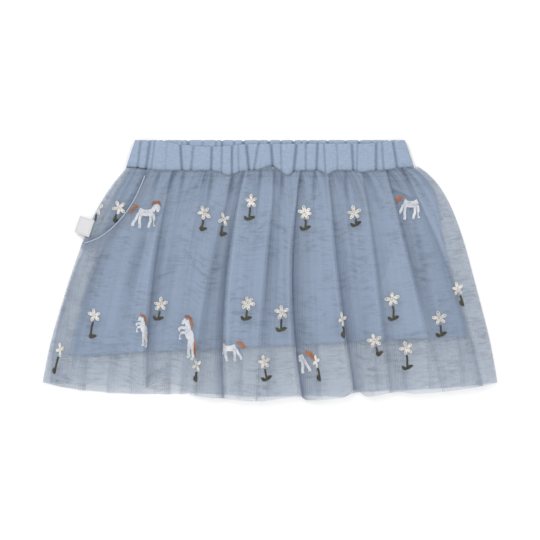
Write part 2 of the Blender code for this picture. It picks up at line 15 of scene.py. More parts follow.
import bmesh
import bpy
import numpy as np
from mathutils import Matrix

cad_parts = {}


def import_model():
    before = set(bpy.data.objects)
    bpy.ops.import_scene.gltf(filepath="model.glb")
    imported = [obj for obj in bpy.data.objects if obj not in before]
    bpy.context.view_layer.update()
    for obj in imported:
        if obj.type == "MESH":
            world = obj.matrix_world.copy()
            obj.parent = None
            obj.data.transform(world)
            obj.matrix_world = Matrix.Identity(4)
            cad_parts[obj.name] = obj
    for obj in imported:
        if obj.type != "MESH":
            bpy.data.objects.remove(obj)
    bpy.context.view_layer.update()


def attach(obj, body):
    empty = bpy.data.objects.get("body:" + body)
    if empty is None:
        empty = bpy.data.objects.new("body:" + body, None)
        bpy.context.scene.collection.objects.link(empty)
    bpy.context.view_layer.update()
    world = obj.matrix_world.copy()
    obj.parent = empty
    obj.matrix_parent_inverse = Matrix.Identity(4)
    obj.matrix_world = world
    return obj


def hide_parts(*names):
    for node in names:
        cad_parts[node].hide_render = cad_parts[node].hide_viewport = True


LOG = logging.getLogger("skirt")
MM = 0.001
Array = np.ndarray
Place = Callable[[Array, Array], tuple[Array, Array, Array]]


class Side(Enum):
    """Side of a fold's valley."""

    LEFT = -1
    RIGHT = 1


class Layer(Enum):
    """Layer of the skirt, from the surface that it lies on."""

    BACK = 0
    FRONT = 1


class Leaves(Enum):
    """How the leaves stand at the foot of a flower's stem."""

    PAIR = "pair"
    RIGHT = "right"
    SINGLE = "single"
    NONE = "none"


class Slot(Enum):
    """Material slots of the record."""

    BAND = "band_cloth"
    NET = "net"
    LINING = "lining_cloth"
    LABEL = "label_tape"


# Plain curves on numbers or arrays


def ease(value: Array) -> Array:
    """Smooth step from 0 to 1."""
    t = np.clip(value, 0.0, 1.0)
    return t * t * (3.0 - 2.0 * t)


def rounded(value: Array) -> Array:
    """Quarter circle that rises steeply from 0 and levels at 1."""
    return np.sqrt(1.0 - (1.0 - np.clip(value, 0.0, 1.0)) ** 2)


def hump(away: Array) -> Array:
    """Smooth hump that is 1 at 0 and falls to 0 at 1."""
    return 0.5 * (1.0 + np.cos(np.pi * np.minimum(np.abs(away), 1.0)))


def bell(away: Array) -> Array:
    """Gaussian bell that is 1 at 0."""
    return np.exp(-np.square(away))


def mix(low: Array, high: Array, share: Array) -> Array:
    """The value that lies share of the way from low to high."""
    return low + (high - low) * share


class Profile:
    """Smooth curve through a table's points, which never overshoots them."""

    def __init__(self, keys: Sequence[float], values: Sequence[float]) -> None:
        """Keeps the points and works out their slopes.

        Args:
            keys: the table's keys, in rising order.
            values: the value at each key.
        """
        self.keys = np.asarray(keys, dtype=float)
        self.values = np.asarray(values, dtype=float)
        rises = np.diff(self.values) / np.diff(self.keys)
        before, after = rises[:-1], rises[1:]
        same_way = before * after > 0.0
        total = np.where(same_way, before + after, 1.0)
        inner = np.where(same_way, 2.0 * before * after / total, 0.0)
        self.slopes = np.concatenate([rises[:1], inner, rises[-1:]])

    def __call__(self, at: Array) -> Array:
        """The curve's value.

        Args:
            at: keys to read it at.

        Returns:
            The values there, held level past both ends.
        """
        spot = np.clip(at, self.keys[0], self.keys[-1])
        i = np.clip(np.searchsorted(self.keys, spot) - 1, 0, len(self.keys) - 2)
        span = self.keys[i + 1] - self.keys[i]
        rise = self.values[i + 1] - self.values[i]
        t = (spot - self.keys[i]) / span
        start = self.values[i] + self.slopes[i] * span * t * (1.0 - t) ** 2
        return start - self.slopes[i + 1] * span * t * t * (1.0 - t) + rise * t * t * (3.0 - 2.0 * t)


# Heights at which the fold tables give their values
WAIST_Y = 92.0
MIDDLE_Y = 10.0
HEM_Y = -112.0


def at_three(values: Sequence[float], y: Array) -> Array:
    """Value at height y of what a table gives at the waist, the middle and the hem."""
    upper = mix(values[1], values[0], ease((y - MIDDLE_Y) / (WAIST_Y - MIDDLE_Y)))
    lower = mix(values[1], values[2], ease((MIDDLE_Y - y) / (MIDDLE_Y - HEM_Y)))
    return np.where(y >= MIDDLE_Y, upper, lower)


def through_three(values: Sequence[float], y: Array) -> Array:
    """Parabola through a place's values at the waist, the middle and the hem."""
    a, b, c = WAIST_Y, MIDDLE_Y, HEM_Y
    first = values[0] * (y - b) * (y - c) / ((a - b) * (a - c))
    second = values[1] * (y - a) * (y - c) / ((b - a) * (b - c))
    third = values[2] * (y - a) * (y - b) / ((c - a) * (c - b))
    return first + second + third


class Fold(NamedTuple):
    """A fold's valley: its place and depth at the three heights, its steep side, the width of the
    other side, and how dark and wide its painted shade is and how bright its painted highlight."""

    waist: float
    middle: float
    hem: float
    deep_waist: float
    deep_middle: float
    deep_hem: float
    steep: Side
    soft: float
    # dark and shade give the painted shade in the valley; rim gives the painted highlight on the ridge
    dark: tuple[float, float, float] = (0.0, 0.0, 0.0)
    shade: float = 6.0
    rim: float = 0.0

    def place(self, y: Array) -> Array:
        """The valley's x at height y."""
        return through_three((self.waist, self.middle, self.hem), y)

    def depth(self, y: Array) -> Array:
        """The valley's depth at height y."""
        return at_three((self.deep_waist, self.deep_middle, self.deep_hem), y)


L, R = Side.LEFT, Side.RIGHT
# Columns: waist, middle and hem places, their three depths, steep side, soft width, painted shade at the
# three heights, its reach, and painted highlight
FRONT_FOLDS = (
    Fold(-128.0, -176.0, -203.0, 0.1, 0.6, 1.8, L, 8.0, (0.2, 0.5, 0.5), 7.0, 0.15),
    Fold(-115.0, -158.0, -184.0, 0.1, 1.8, 0.3, L, 11.0, (0.2, 0.45, 0.15), 9.0, 0.15),
    Fold(-102.0, -121.0, -146.0, 0.4, 3.6, 0.0, R, 10.0, (0.4, 0.25, 0.0), 8.0, 0.2),
    Fold(-90.0, -105.6, -114.0, 0.5, 6.0, 5.4, L, 10.0, (0.7, 0.75, 0.6), 6.0, 0.35),
    Fold(-79.6, -93.0, -100.0, 0.5, 0.8, 0.0, L, 5.0, (0.45, 0.15, 0.0), 4.0, 0.15),
    Fold(-59.0, -76.0, -90.0, 0.5, 1.4, 0.0, L, 8.0, (0.4, 0.2, 0.0), 5.0, 0.1),
    Fold(-53.0, -65.0, -79.0, 0.4, 0.0, 0.0, R, 5.0, (0.5, 0.0, 0.0), 3.0, 0.1),
    Fold(-33.4, -51.0, -69.0, 0.5, 4.4, 4.0, L, 12.0, (0.55, 0.4, 0.35), 6.0, 0.2),
    Fold(-24.0, -38.9, -43.5, 0.5, 5.6, 5.0, R, 8.0, (0.7, 0.75, 0.7), 6.0, 0.5),
    Fold(-8.0, -17.0, -26.0, 0.4, 0.5, 0.0, R, 6.0, (0.4, 0.1, 0.0), 5.0, 0.1),
    Fold(4.6, -1.4, -12.0, 0.5, 5.2, 1.6, L, 13.0, (0.6, 0.7, 0.3), 8.0, 0.35),
    Fold(12.5, 7.0, 2.0, 0.5, 0.8, 0.0, R, 6.0, (0.4, 0.12, 0.0), 4.0, 0.1),
    Fold(28.7, 21.3, 29.6, 0.5, 4.4, 5.6, L, 11.0, (0.9, 0.92, 0.9), 7.0, 0.5),
    Fold(42.0, 41.0, 52.0, 0.4, 0.5, 0.0, R, 6.0, (0.4, 0.1, 0.0), 4.0, 0.1),
    Fold(54.6, 62.5, 78.5, 0.5, 5.6, 5.4, L, 12.0, (0.7, 0.65, 0.8), 7.0, 0.4),
    Fold(70.0, 79.0, 95.0, 0.4, 0.6, 0.4, R, 6.0, (0.4, 0.15, 0.1), 5.0, 0.1),
    Fold(86.0, 98.3, 111.8, 0.5, 3.4, 4.6, L, 13.0, (0.5, 0.5, 0.5), 7.0, 0.3),
    Fold(108.3, 130.0, 160.0, 0.5, 6.0, 1.0, L, 22.0, (0.75, 0.65, 0.2), 12.0, 0.4),
    Fold(124.0, 161.0, 197.0, 0.4, 2.2, 2.0, R, 9.0, (0.5, 0.5, 0.45), 6.0, 0.4),
)


class Mark(NamedTuple):
    """A short soft line in the cloth: its two ends, half width, and its painted shade and painted highlight.
    """

    x: float
    y: float
    end_x: float
    end_y: float
    wide: float
    dark: float
    rim: float = 0.0


# Creases painted as short lines of shade, and edges as short lines of painted highlight, in millimetres
MARKS = (
    Mark(-152.8, 28.2, -174.0, -32.0, 3.0, 0.25),
    Mark(-115.7, 28.2, -131.5, -11.6, 3.5, 0.22),
    Mark(113.9, 77.3, 131.5, 69.0, 0.9, 0.0, 0.45),
    Mark(113.9, 75.0, 131.5, 66.6, 1.6, 0.4),
    Mark(-172.0, -79.0, -132.0, -77.4, 0.8, 0.3),
    Mark(106.5, -59.0, 148.0, -55.2, 0.8, 0.0, 0.3),
    Mark(114.8, 16.2, 101.9, -19.0, 1.0, 0.0, 0.35),
    Mark(101.9, -19.0, 106.5, -59.0, 1.0, 0.0, 0.3),
)
# Corners of the paler patch at the right, in millimetres
PALE_PATCH = ((114.8, 16.2), (101.9, -19.0), (106.5, -59.0), (148.0, -55.2), (131.5, 7.6))

# The facing's folds, with painted shade and painted highlight as in the front's table
FACING_FOLDS = (
    Fold(-130.5, -171.0, -190.0, 0.7, 0.8, 0.0, L, 6.0, (0.3, 0.3, 0.1), 4.0, 0.1),
    Fold(-124.0, -159.0, -180.0, 0.5, 0.5, 0.0, R, 6.0, (0.3, 0.25, 0.1), 4.0, 0.1),
)
SKIRT_SIDES = (
    (98.0, 132.4, 136.0),
    (92.0, 136.4, 144.6),
    (84.0, 143.0, 153.0),
    (74.0, 150.5, 160.5),
    (58.0, 160.2, 169.0),
    (40.0, 169.0, 176.0),
    (20.0, 176.5, 182.4),
    (-7.0, 186.0, 189.6),
    (-35.0, 194.6, 197.0),
    (-65.0, 203.4, 204.4),
    (-90.0, 208.8, 209.2),
    (-104.2, 211.4, 211.4),
    (-121.0, 213.0, 213.0),
)
HEM_LINE = (
    (-211.4, -104.2, -104.2),
    (-191.7, -105.0, -108.8),
    (-160.0, -105.6, -112.7),
    (-136.0, -107.0, -114.4),
    (-120.0, -111.0, -114.8),
    (-104.6, -103.6, -114.9),
    (-90.7, -102.9, -114.8),
    (-80.6, -106.5, -114.6),
    (-72.0, -115.6, -114.2),
    (-42.6, -118.6, -115.6),
    (-12.0, -121.0, -117.4),
    (16.7, -117.6, -117.0),
    (27.8, -116.8, -116.4),
    (34.0, -120.2, -116.2),
    (67.6, -117.6, -117.8),
    (79.6, -110.9, -113.4),
    (89.5, -116.5, -112.6),
    (120.4, -112.6, -111.6),
    (134.0, -113.9, -111.0),
    (182.4, -109.3, -107.8),
    (211.4, -104.2, -104.2),
)
SEAM_DIPS = ((-38.0, 4.4, 9.0), (0.0, -4.2, 8.0), (16.0, 4.4, 6.0), (53.0, 3.6, 4.5), (86.0, 1.6, 5.0))
FRONT_TOP_EDGE = (
    (-130.0, 0.0),
    (-104.0, 0.8),
    (-78.0, 4.6),
    (-54.0, 6.0),
    (-16.0, 3.6),
    (40.0, 3.4),
    (90.0, 3.2),
    (112.0, 0.9),
    (130.0, 0.0),
)
POCKET_MOUTH = (
    (-113.5, 104.0),
    (-114.8, 90.0),
    (-119.6, 77.0),
    (-127.0, 62.0),
    (-137.5, 47.5),
    (-148.5, 36.5),
    (-160.5, 28.6),
    (-172.0, 25.0),
    (-186.0, 24.0),
)


@dataclass(frozen=True)
class Form:
    """The garment's form: every layer's height above the floor, worked out from a few sizes."""

    waist_width: float = 250.0
    band_top_y: float = 121.0
    band_seam_y: float = 92.5
    band_flare: float = 9.4
    cloth: float = 1.0
    band_thick: float = 3.0
    seam_gap: float = 0.3
    front_fold: tuple[float, float, float] = (0.5, 6.0, 5.6)
    back_fold: tuple[float, float, float] = (0.4, 2.4, 2.0)
    stack_margin: float = 0.3
    steep_side: float = 4.4
    fold_fan: tuple[float, float, float] = (0.5, 1.0, 1.2)
    side_close: float = 24.0
    side_round: float = 18.0
    puff_drop: float = 26.0
    seam_end_rise: float = 3.2
    seam_end_start: float = 100.0
    seam_end_run: float = 32.0
    waist_depth: float = 4.6
    waist_depth_drop: float = 40.0
    lining_inset_hem: float = 20.0
    lining_inset_waist: float = 7.0
    lining_flare_drop: float = 70.0
    lining_hems: tuple[float, float] = (-79.0, -61.0)
    lining_settle: float = 34.0
    lining_settle_start: float = 2.0
    lining_settle_share: float = 0.6
    lining_clear_share: float = 0.6
    facing_tuck: float = 5.0
    facing_end_y: float = 20.0
    facing_puff: float = 2.2
    mouth_reach: float = -60.0
    mouth_lift_flat: float = 9.0
    mouth_lift_fade: float = 14.0
    mouth_puff_share: float = 0.15
    mouth_puff_fade: float = 16.0
    mouth_samples: int = 90
    back_count: int = 15
    back_reach: float = 124.0
    back_fan: float = 1.52
    back_fan_middle: float = 1.32
    back_soft: float = 10.0
    back_depth: float = 0.72
    back_depth_sway: float = 0.28
    back_sway: float = 3.0

    def __post_init__(self) -> None:
        """Makes the curves through the tables and the back's folds."""
        rising = SKIRT_SIDES[::-1]
        keys = [row[0] for row in rising]
        mouth = POCKET_MOUTH[::-1]
        steps = list(range(len(POCKET_MOUTH)))
        xs = [row[0] for row in HEM_LINE]
        made = {
            "left_side": Profile(keys, [-row[1] for row in rising]),
            "right_side": Profile(keys, [row[2] for row in rising]),
            "front_hem": Profile(xs, [row[1] for row in HEM_LINE]),
            "back_hem": Profile(xs, [row[2] for row in HEM_LINE]),
            "mouth_line": Profile([row[1] for row in mouth], [row[0] for row in mouth]),
            "mouth_xs": Profile(steps, [row[0] for row in POCKET_MOUTH]),
            "mouth_ys": Profile(steps, [row[1] for row in POCKET_MOUTH]),
            "top_drop": Profile([row[0] for row in FRONT_TOP_EDGE], [row[1] for row in FRONT_TOP_EDGE]),
            "back_folds": tuple(self._back_fold(k) for k in range(self.back_count)),
        }
        for name, value in made.items():
            object.__setattr__(self, name, value)

    def _back_fold(self, k: int) -> Fold:
        """The back panel's fold numbered k, in an even row shifted and deepened by slow waves."""
        place = mix(-self.back_reach, self.back_reach, (k + 0.5) / self.back_count)
        waist = place + self.back_sway * math.sin(2.7 * k)
        middle = waist * self.back_fan_middle + self.back_sway * math.sin(1.9 * k + 1.0)
        hem = waist * self.back_fan + self.back_sway * math.sin(2.3 * k + 1.6)
        depth = self.back_depth + self.back_depth_sway * math.sin(2.2 * k + 0.6)
        depths = [depth * fold for fold in self.back_fold]
        # Painted shade of each back fold, stronger where the fold is deeper; each fold also gets a painted
        # highlight of 0.2
        look = (0.5 * depth, 0.45 * depth, 0.4 * depth)
        return Fold(waist, middle, hem, *depths, L if k % 3 else R, self.back_soft, look, 5.0, 0.2)

    def side_edges(self, y: Array) -> tuple[Array, Array]:
        """The x of the left and right side seams at height y."""
        return self.left_side(y), self.right_side(y)

    def from_side(self, x: Array, y: Array) -> Array:
        """Distance in from the nearer side seam."""
        left, right = self.side_edges(y)
        return np.maximum(0.0, np.minimum(x - left, right - x))

    def back_seam_y(self, x: Array) -> Array:
        """The back waist seam's y, which rises a little towards its ends."""
        past = (np.abs(x) - self.seam_end_start) / self.seam_end_run
        return self.band_seam_y + self.seam_end_rise * ease(past)

    def seam_y(self, x: Array) -> Array:
        """The front waist seam's y, with its dips at the gathers."""
        return self.back_seam_y(x) - sum(depth * bell((x - at) / width) for at, depth, width in SEAM_DIPS)

    def lining_hem_y(self, x: Array) -> Array:
        """The lining's hem, which hangs a little lower at the left."""
        left, right = self.side_edges(MIDDLE_Y)
        return mix(*self.lining_hems, (x - left) / (right - left))

    def lining_inset(self, y: Array) -> Array:
        """How far the lining's sides lie inside the net's."""
        share = ease((WAIST_Y - y) / self.lining_flare_drop)
        return mix(self.lining_inset_waist, self.lining_inset_hem, share)

    def fan(self, y: Array) -> Array:
        """How much wider a fold is than at the middle height."""
        return at_three(self.fold_fan, y)

    def notch(self, fold: Fold, x: Array, y: Array) -> Array:
        """How deep a fold's valley is at a point, as a share of its own depth."""
        away = x - fold.place(y)
        steep = away * fold.steep.value > 0.0
        return hump(away / (np.where(steep, self.steep_side, fold.soft) * self.fan(y)))

    def folded_share(self, folds: Sequence[Fold], x: Array, y: Array, full: Array) -> Array:
        """Share of the full fold height that the valleys take away at a point."""
        left = np.ones_like(x)
        for fold in folds:
            left *= 1.0 - np.minimum(fold.depth(y) / full, 1.0) * self.notch(fold, x, y)
        return 1.0 - left

    def gather_share(self, x: Array, y: Array) -> Array:
        """Share that the short gathers under the waist seam take away from the puff."""
        fade = 1.0 - ease((WAIST_Y - y) / self.waist_depth_drop)
        left = np.ones_like(x)
        for fold in FRONT_FOLDS:
            left *= 1.0 - fade * self.notch(fold, x, y)
        return 1.0 - left

    def side_share(self, x: Array, y: Array) -> Array:
        """How far the layers have parted at a point, from 0 at the side seams to 1."""
        return ease(self.from_side(x, y) / self.side_close)

    def back_under(self, x: Array, y: Array) -> Array:
        """Underside of the back panel: flat on the surface, and lifted only in its folds."""
        full = at_three(self.back_fold, y)
        return full * self.side_share(x, y) * self.folded_share(self.back_folds, x, y, full)

    def over_back(self, x: Array, y: Array) -> Array:
        """Lowest height at which a layer clears the back panel."""
        lift = at_three(self.back_fold, y) + self.stack_margin
        return self.cloth + self.seam_gap + lift * self.side_share(x, y)

    def lining_under(self, x: Array, y: Array, layer: Layer) -> Array:
        """Underside of a lining panel."""
        return self.over_back(x, y) + layer.value * (self.cloth + self.seam_gap)

    def over_lining(self, x: Array, y: Array) -> Array:
        """Lowest height at which a layer clears the lining, which it settles past at sides and hem."""
        sides = rounded(self.from_side(x, y) / (self.lining_clear_share * self.lining_inset(y)))
        below = self.lining_hem_y(x) - self.lining_settle_start - y
        past_hem = 1.0 - self.lining_settle_share * ease(below / self.lining_settle)
        both = 2.0 * (self.cloth + self.seam_gap) + self.stack_margin
        return self.over_back(x, y) + both * sides * past_hem

    def mouth_point(self, share: Array, inward: float = 0.0) -> tuple[Array, Array]:
        """Points of the pocket mouth, or ones that lie inward from it, under the front.

        Args:
            share: shares of the way along the mouth.
            inward: distance from the mouth, in millimetres.

        Returns:
            The points' x and y.
        """
        last = len(POCKET_MOUTH) - 1
        step = 1.0 / self.mouth_samples
        ahead, behind = np.minimum(share + step, 1.0) * last, np.maximum(share - step, 0.0) * last
        run_x = self.mouth_xs(ahead) - self.mouth_xs(behind)
        run_y = self.mouth_ys(ahead) - self.mouth_ys(behind)
        length = np.hypot(run_x, run_y)
        x, y = self.mouth_xs(share * last), self.mouth_ys(share * last)
        return x - run_y / length * inward, y + run_x / length * inward

    def from_mouth(self, x: Array, y: Array) -> Array:
        """Distance from the pocket mouth: above 0 under the front, and below 0 in the mouth."""
        x, y = np.broadcast_arrays(np.atleast_1d(x), np.atleast_1d(y))
        away = x - POCKET_MOUTH[0][0]
        near = x <= self.mouth_reach
        spots = self.mouth_point(np.linspace(0.0, 1.0, self.mouth_samples + 1))
        gap_x = x[near][:, None] - spots[0][None, :]
        gap_y = y[near][:, None] - spots[1][None, :]
        nearest = np.hypot(gap_x, gap_y).min(axis=1) if near.any() else np.zeros(0)
        away[near] = np.where(x[near] > self.mouth_line(y[near]), nearest, -nearest)
        return away

    def in_mouth(self, x: Array, y: Array) -> Array:
        """Where the pocket mouth is open, so that the facing shows."""
        return (self.from_mouth(x, y) < 0.0) & (np.asarray(y) > POCKET_MOUTH[-1][1])

    def over_facing(self, x: Array, y: Array) -> Array:
        """Lowest height at which the front clears the lining and the pocket facing."""
        lift = 1.0 - ease((self.from_mouth(x, y) - self.mouth_lift_flat) / self.mouth_lift_fade)
        return self.over_lining(x, y) + (self.cloth + self.seam_gap) * lift

    def facing_under(self, x: Array, y: Array) -> Array:
        """Underside of the pocket facing, which puffs up a little inside the mouth."""
        sides = rounded(self.from_side(x, y) / self.side_round)
        puff = self.facing_puff * sides * ease(-self.from_mouth(x, y) / self.mouth_lift_flat)
        return self.over_lining(x, y) + puff * (1.0 - self.folded_share(FACING_FOLDS, x, y, 1.0))

    def front_puff(self, x: Array, y: Array) -> Array:
        """How high the front's cloth stands over what it lies on, before its valleys."""
        drop = np.maximum(0.0, self.seam_y(x) - y)
        start = self.waist_depth * rounded(drop / self.puff_drop)
        below = at_three(self.front_fold, y)
        full = self.front_fold[0] + mix(start, below, ease(drop / self.waist_depth_drop))
        mouth = mix(self.mouth_puff_share, 1.0, ease(self.from_mouth(x, y) / self.mouth_puff_fade))
        return full * mouth * rounded(self.from_side(x, y) / self.side_round)

    def front_under(self, x: Array, y: Array) -> Array:
        """Underside of the front panel."""
        folds = self.folded_share(FRONT_FOLDS, x, y, self.front_fold[1])
        valleys = np.maximum(folds, self.gather_share(x, y))
        return self.over_facing(x, y) + self.front_puff(x, y) * (1.0 - valleys)

    def band_sides(self, y: Array) -> tuple[Array, Array]:
        """The x of the waistband's two ends at height y."""
        share = (self.band_top_y - y) / (self.band_top_y - self.band_seam_y)
        half = self.waist_width / 2.0 + self.band_flare * share
        return -half, half


# Shader building

Value = Union[float, "Term"]
Colour = tuple[float, float, float]


class Term:
    """A shader value: a node's output socket that Python's operators add Math nodes to."""

    def __init__(self, paint: "Paint", socket: bpy.types.NodeSocket) -> None:
        """Keeps the socket and the material that it belongs to."""
        self.paint = paint
        self.socket = socket

    def _math(self, operation: str, first: Value, second: Value) -> "Term":
        """A Math node's result for two values."""
        return self.paint.node("ShaderNodeMath", {"operation": operation}, {0: first, 1: second})

    def __add__(self, other: Value) -> "Term":
        """Sum."""
        return self._math("ADD", self, other)

    def __radd__(self, other: Value) -> "Term":
        """Sum with the number first."""
        return self._math("ADD", other, self)

    def __sub__(self, other: Value) -> "Term":
        """Difference."""
        return self._math("SUBTRACT", self, other)

    def __rsub__(self, other: Value) -> "Term":
        """Difference with the number first."""
        return self._math("SUBTRACT", other, self)

    def __mul__(self, other: Value) -> "Term":
        """Product."""
        return self._math("MULTIPLY", self, other)

    def __rmul__(self, other: Value) -> "Term":
        """Product with the number first."""
        return self._math("MULTIPLY", other, self)

    def __truediv__(self, other: Value) -> "Term":
        """Quotient."""
        return self._math("DIVIDE", self, other)

    def __rtruediv__(self, other: Value) -> "Term":
        """Quotient with the number first."""
        return self._math("DIVIDE", other, self)


class Paint:
    """A material under construction: a Principled shader and the nodes that feed it."""

    def __init__(self, name: str) -> None:
        """Starts a material with its shader and output alone."""
        self.material = bpy.data.materials.new(name)
        self.material.use_nodes = True
        self.tree = self.material.node_tree
        self.shader = self.tree.nodes["Principled BSDF"]

    def node(self, kind: str, settings: dict, inputs: dict, output: Union[int, str] = 0) -> Term:
        """Adds a node.

        Args:
            kind: the node's type.
            settings: its own properties, which are set first; "stops" holds a ramp's places and colours.
            inputs: values or terms for its sockets, by name or number.
            output: name or number of the socket that the term wraps.

        Returns:
            The term of that output.
        """
        made = self.tree.nodes.new(kind)
        for name, value in settings.items():
            if name == "stops":
                self._set_stops(made.color_ramp.elements, value)
            else:
                setattr(made, name, value)
        for key, value in inputs.items():
            self._feed(made.inputs[key], value)
        return Term(self, made.outputs[output])

    def _set_stops(self, elements: bpy.types.ColorRampElements, stops: Sequence[tuple]) -> None:
        """Sets a ramp's stops from pairs of a place and a grey value."""
        while len(elements) < len(stops):
            elements.new(1.0)
        for element, (place, grey) in zip(elements, stops):
            element.position = place
            element.color = (grey, grey, grey, 1.0)

    def _feed(self, socket: bpy.types.NodeSocket, value: object) -> None:
        """Links a term to a socket, or sets the socket's value."""
        if isinstance(value, Term):
            self.tree.links.new(value.socket, socket)
        elif socket.type == "RGBA" and len(value) == 3:
            socket.default_value = (*value, 1.0)
        else:
            socket.default_value = value

    def set(self, name: str, value: object) -> None:
        """Feeds one of the shader's own sockets."""
        self._feed(self.shader.inputs[name], value)

    def field(self, name: str, output: str = "Fac") -> Term:
        """A mesh's own attribute."""
        return self.node("ShaderNodeAttribute", {"attribute_name": name}, {}, output)

    def vector(self, operation: str, first: object, second: object) -> Term:
        """A Vector Math node's result."""
        return self.node("ShaderNodeVectorMath", {"operation": operation}, {0: first, 1: second})

    def blend(self, share: Value, first: object, second: object, way: str = "MIX") -> Term:
        """A colour that lies share of the way from one to another, or is multiplied by it."""
        settings = {"data_type": "RGBA", "blend_type": way}
        return self.node("ShaderNodeMix", settings, {0: share, 6: first, 7: second}, 2)

    def noise(self, spot: Term, scale: float, detail: float = 2.0, distort: float = 0.0) -> Term:
        """Noise from 0 to 1 at a place."""
        inputs = {"Vector": spot, "Scale": scale, "Detail": detail, "Distortion": distort}
        return self.node("ShaderNodeTexNoise", {"noise_dimensions": "3D"}, inputs)

    def ramp(self, value: Value, *stops: tuple[float, float]) -> Term:
        """A value read through a ramp's stops."""
        return self.node("ShaderNodeValToRGB", {"stops": stops}, {"Fac": value})

    def bump(self, height: Term, distance: float, strength: float) -> None:
        """Feeds the shader's normal with a height in metres."""
        inputs = {"Height": height, "Distance": distance, "Strength": strength}
        self.set("Normal", self.node("ShaderNodeBump", {}, inputs))


@dataclass(frozen=True)
class NetFinish:
    """Soft sheer net, with the wavy streaks that two nets make when one lies over another."""

    name: str
    colour: Colour = (0.345, 0.415, 0.515)
    # Colour of the painted shade in fold valleys, which also stands for the darker look of doubled net
    dark: Colour = (0.022, 0.042, 0.098)
    # Colour of the painted highlight on fold ridges and crease edges
    light: Colour = (0.52, 0.60, 0.70)
    cover: float = 0.37
    # The net grows more opaque with the painted shade
    cover_dark: float = 0.60
    streak: float = 0.42
    pleat: float = 0.5
    line: float = 0.25
    line_pitch: float = 0.0020
    roughness: float = 0.72

    def make(self) -> bpy.types.Material:
        """Builds the material.

        Returns:
            The material, which reads the mesh's cloth attribute and its two attributes of painted shade and
            painted highlight.
        """
        paint = Paint(self.name)
        cloth = paint.field("cloth", "Vector")
        shade_and_tone = paint.field("shade_and_tone")
        rim = paint.field("rim")
        streaks = paint.noise(paint.vector("MULTIPLY", cloth, (62.0, 300.0, 1.0)), 1.0, 2.0, 0.9)
        clusters = paint.noise(paint.vector("MULTIPLY", cloth, (40.0, 26.0, 1.0)), 1.0, 2.0)
        dashes = paint.ramp(streaks, (0.46, 0.0), (0.66, 1.0))
        groups = paint.ramp(clusters, (0.38, 0.2), (0.62, 1.0))
        mesh_marks = dashes * groups
        # Fine vertical streaks of painted light and shade from small pleats, which also feed the bump
        pleats = paint.noise(paint.vector("MULTIPLY", cloth, (210.0, 5.0, 1.0)), 1.0, 2.0)
        turns = 2.0 * math.pi / self.line_pitch
        bands = {"Vector": cloth, "Scale": turns / 20.0}
        lines = paint.node("ShaderNodeTexWave", {"bands_direction": "X"}, bands)
        light = 1.0 - self.streak * mesh_marks - self.pleat * (pleats - 0.5) - self.line * (lines - 0.5)
        grey = paint.node("ShaderNodeCombineColor", {}, {0: light, 1: light, 2: light})
        weave = paint.blend(1.0, self.colour, grey, "MULTIPLY")
        # Painted highlight, then painted shade, mixed into the net's colour
        edged = paint.blend(rim, weave, self.light)
        paint.set("Base Color", paint.blend(shade_and_tone, edged, self.dark))
        paint.set("Alpha", self.cover + self.cover_dark * shade_and_tone + 0.3 * self.streak * mesh_marks)
        paint.set("Roughness", self.roughness)
        paint.set("Sheen Weight", 0.15)
        paint.set("Sheen Roughness", 0.5)
        paint.bump(pleats + 0.4 * streaks, 0.0006, 0.5)
        return paint.material


@dataclass(frozen=True)
class PlainFinish:
    """Plain woven cloth, opaque, with slubs, and darkened where its mesh asks, mostly by painted shade in
    creases and folds.
    """

    name: str
    colour: Colour
    dark: Colour
    roughness: float = 0.84
    pitch: float = 0.0008
    slub: float = 0.10
    relief: float = 0.00025

    def make(self) -> bpy.types.Material:
        """Builds the material.

        Returns:
            The material, which reads the mesh's cloth attribute and its darkening, which is mostly painted
            shade.
        """
        paint = Paint(self.name)
        cloth = paint.field("cloth", "Vector")
        shade_and_tone = paint.field("shade_and_tone")
        warp = paint.noise(paint.vector("MULTIPLY", cloth, (1.0 / self.pitch, 160.0, 1.0)), 1.0, 1.0)
        weft = paint.noise(paint.vector("MULTIPLY", cloth, (160.0, 1.0 / self.pitch, 1.0)), 1.0, 1.0)
        light = 1.0 - self.slub * (warp + weft - 1.0)
        grey = paint.node("ShaderNodeCombineColor", {}, {0: light, 1: light, 2: light})
        weave = paint.blend(1.0, self.colour, grey, "MULTIPLY")
        # Mixes the cloth towards its dark colour by the mesh's darkening, mostly painted shade
        paint.set("Base Color", paint.blend(shade_and_tone, weave, self.dark))
        paint.set("Roughness", self.roughness)
        paint.bump(warp + weft, self.relief, 0.6)
        return paint.material


@dataclass(frozen=True)
class ThreadFinish:
    """Embroidery thread, soft and a little glossy, with a fine twist."""

    name: str
    colour: Colour
    dark: Colour
    roughness: float = 0.55
    twist: float = 900.0

    def make(self) -> bpy.types.Material:
        """Builds the material.

        Returns:
            The material.
        """
        paint = Paint(self.name)
        spot = paint.node("ShaderNodeTexCoord", {}, {}, "Object")
        ply = paint.noise(spot, self.twist, 1.0)
        worn = paint.noise(spot, 120.0, 2.0)
        grooves = paint.ramp(0.5 * ply + 0.5 * worn, (0.42, 0.0), (0.62, 1.0))
        paint.set("Base Color", paint.blend(grooves, self.colour, self.dark))
        paint.set("Roughness", self.roughness)
        paint.set("Sheen Weight", 0.3)
        paint.bump(ply, 0.0003, 0.6)
        return paint.material


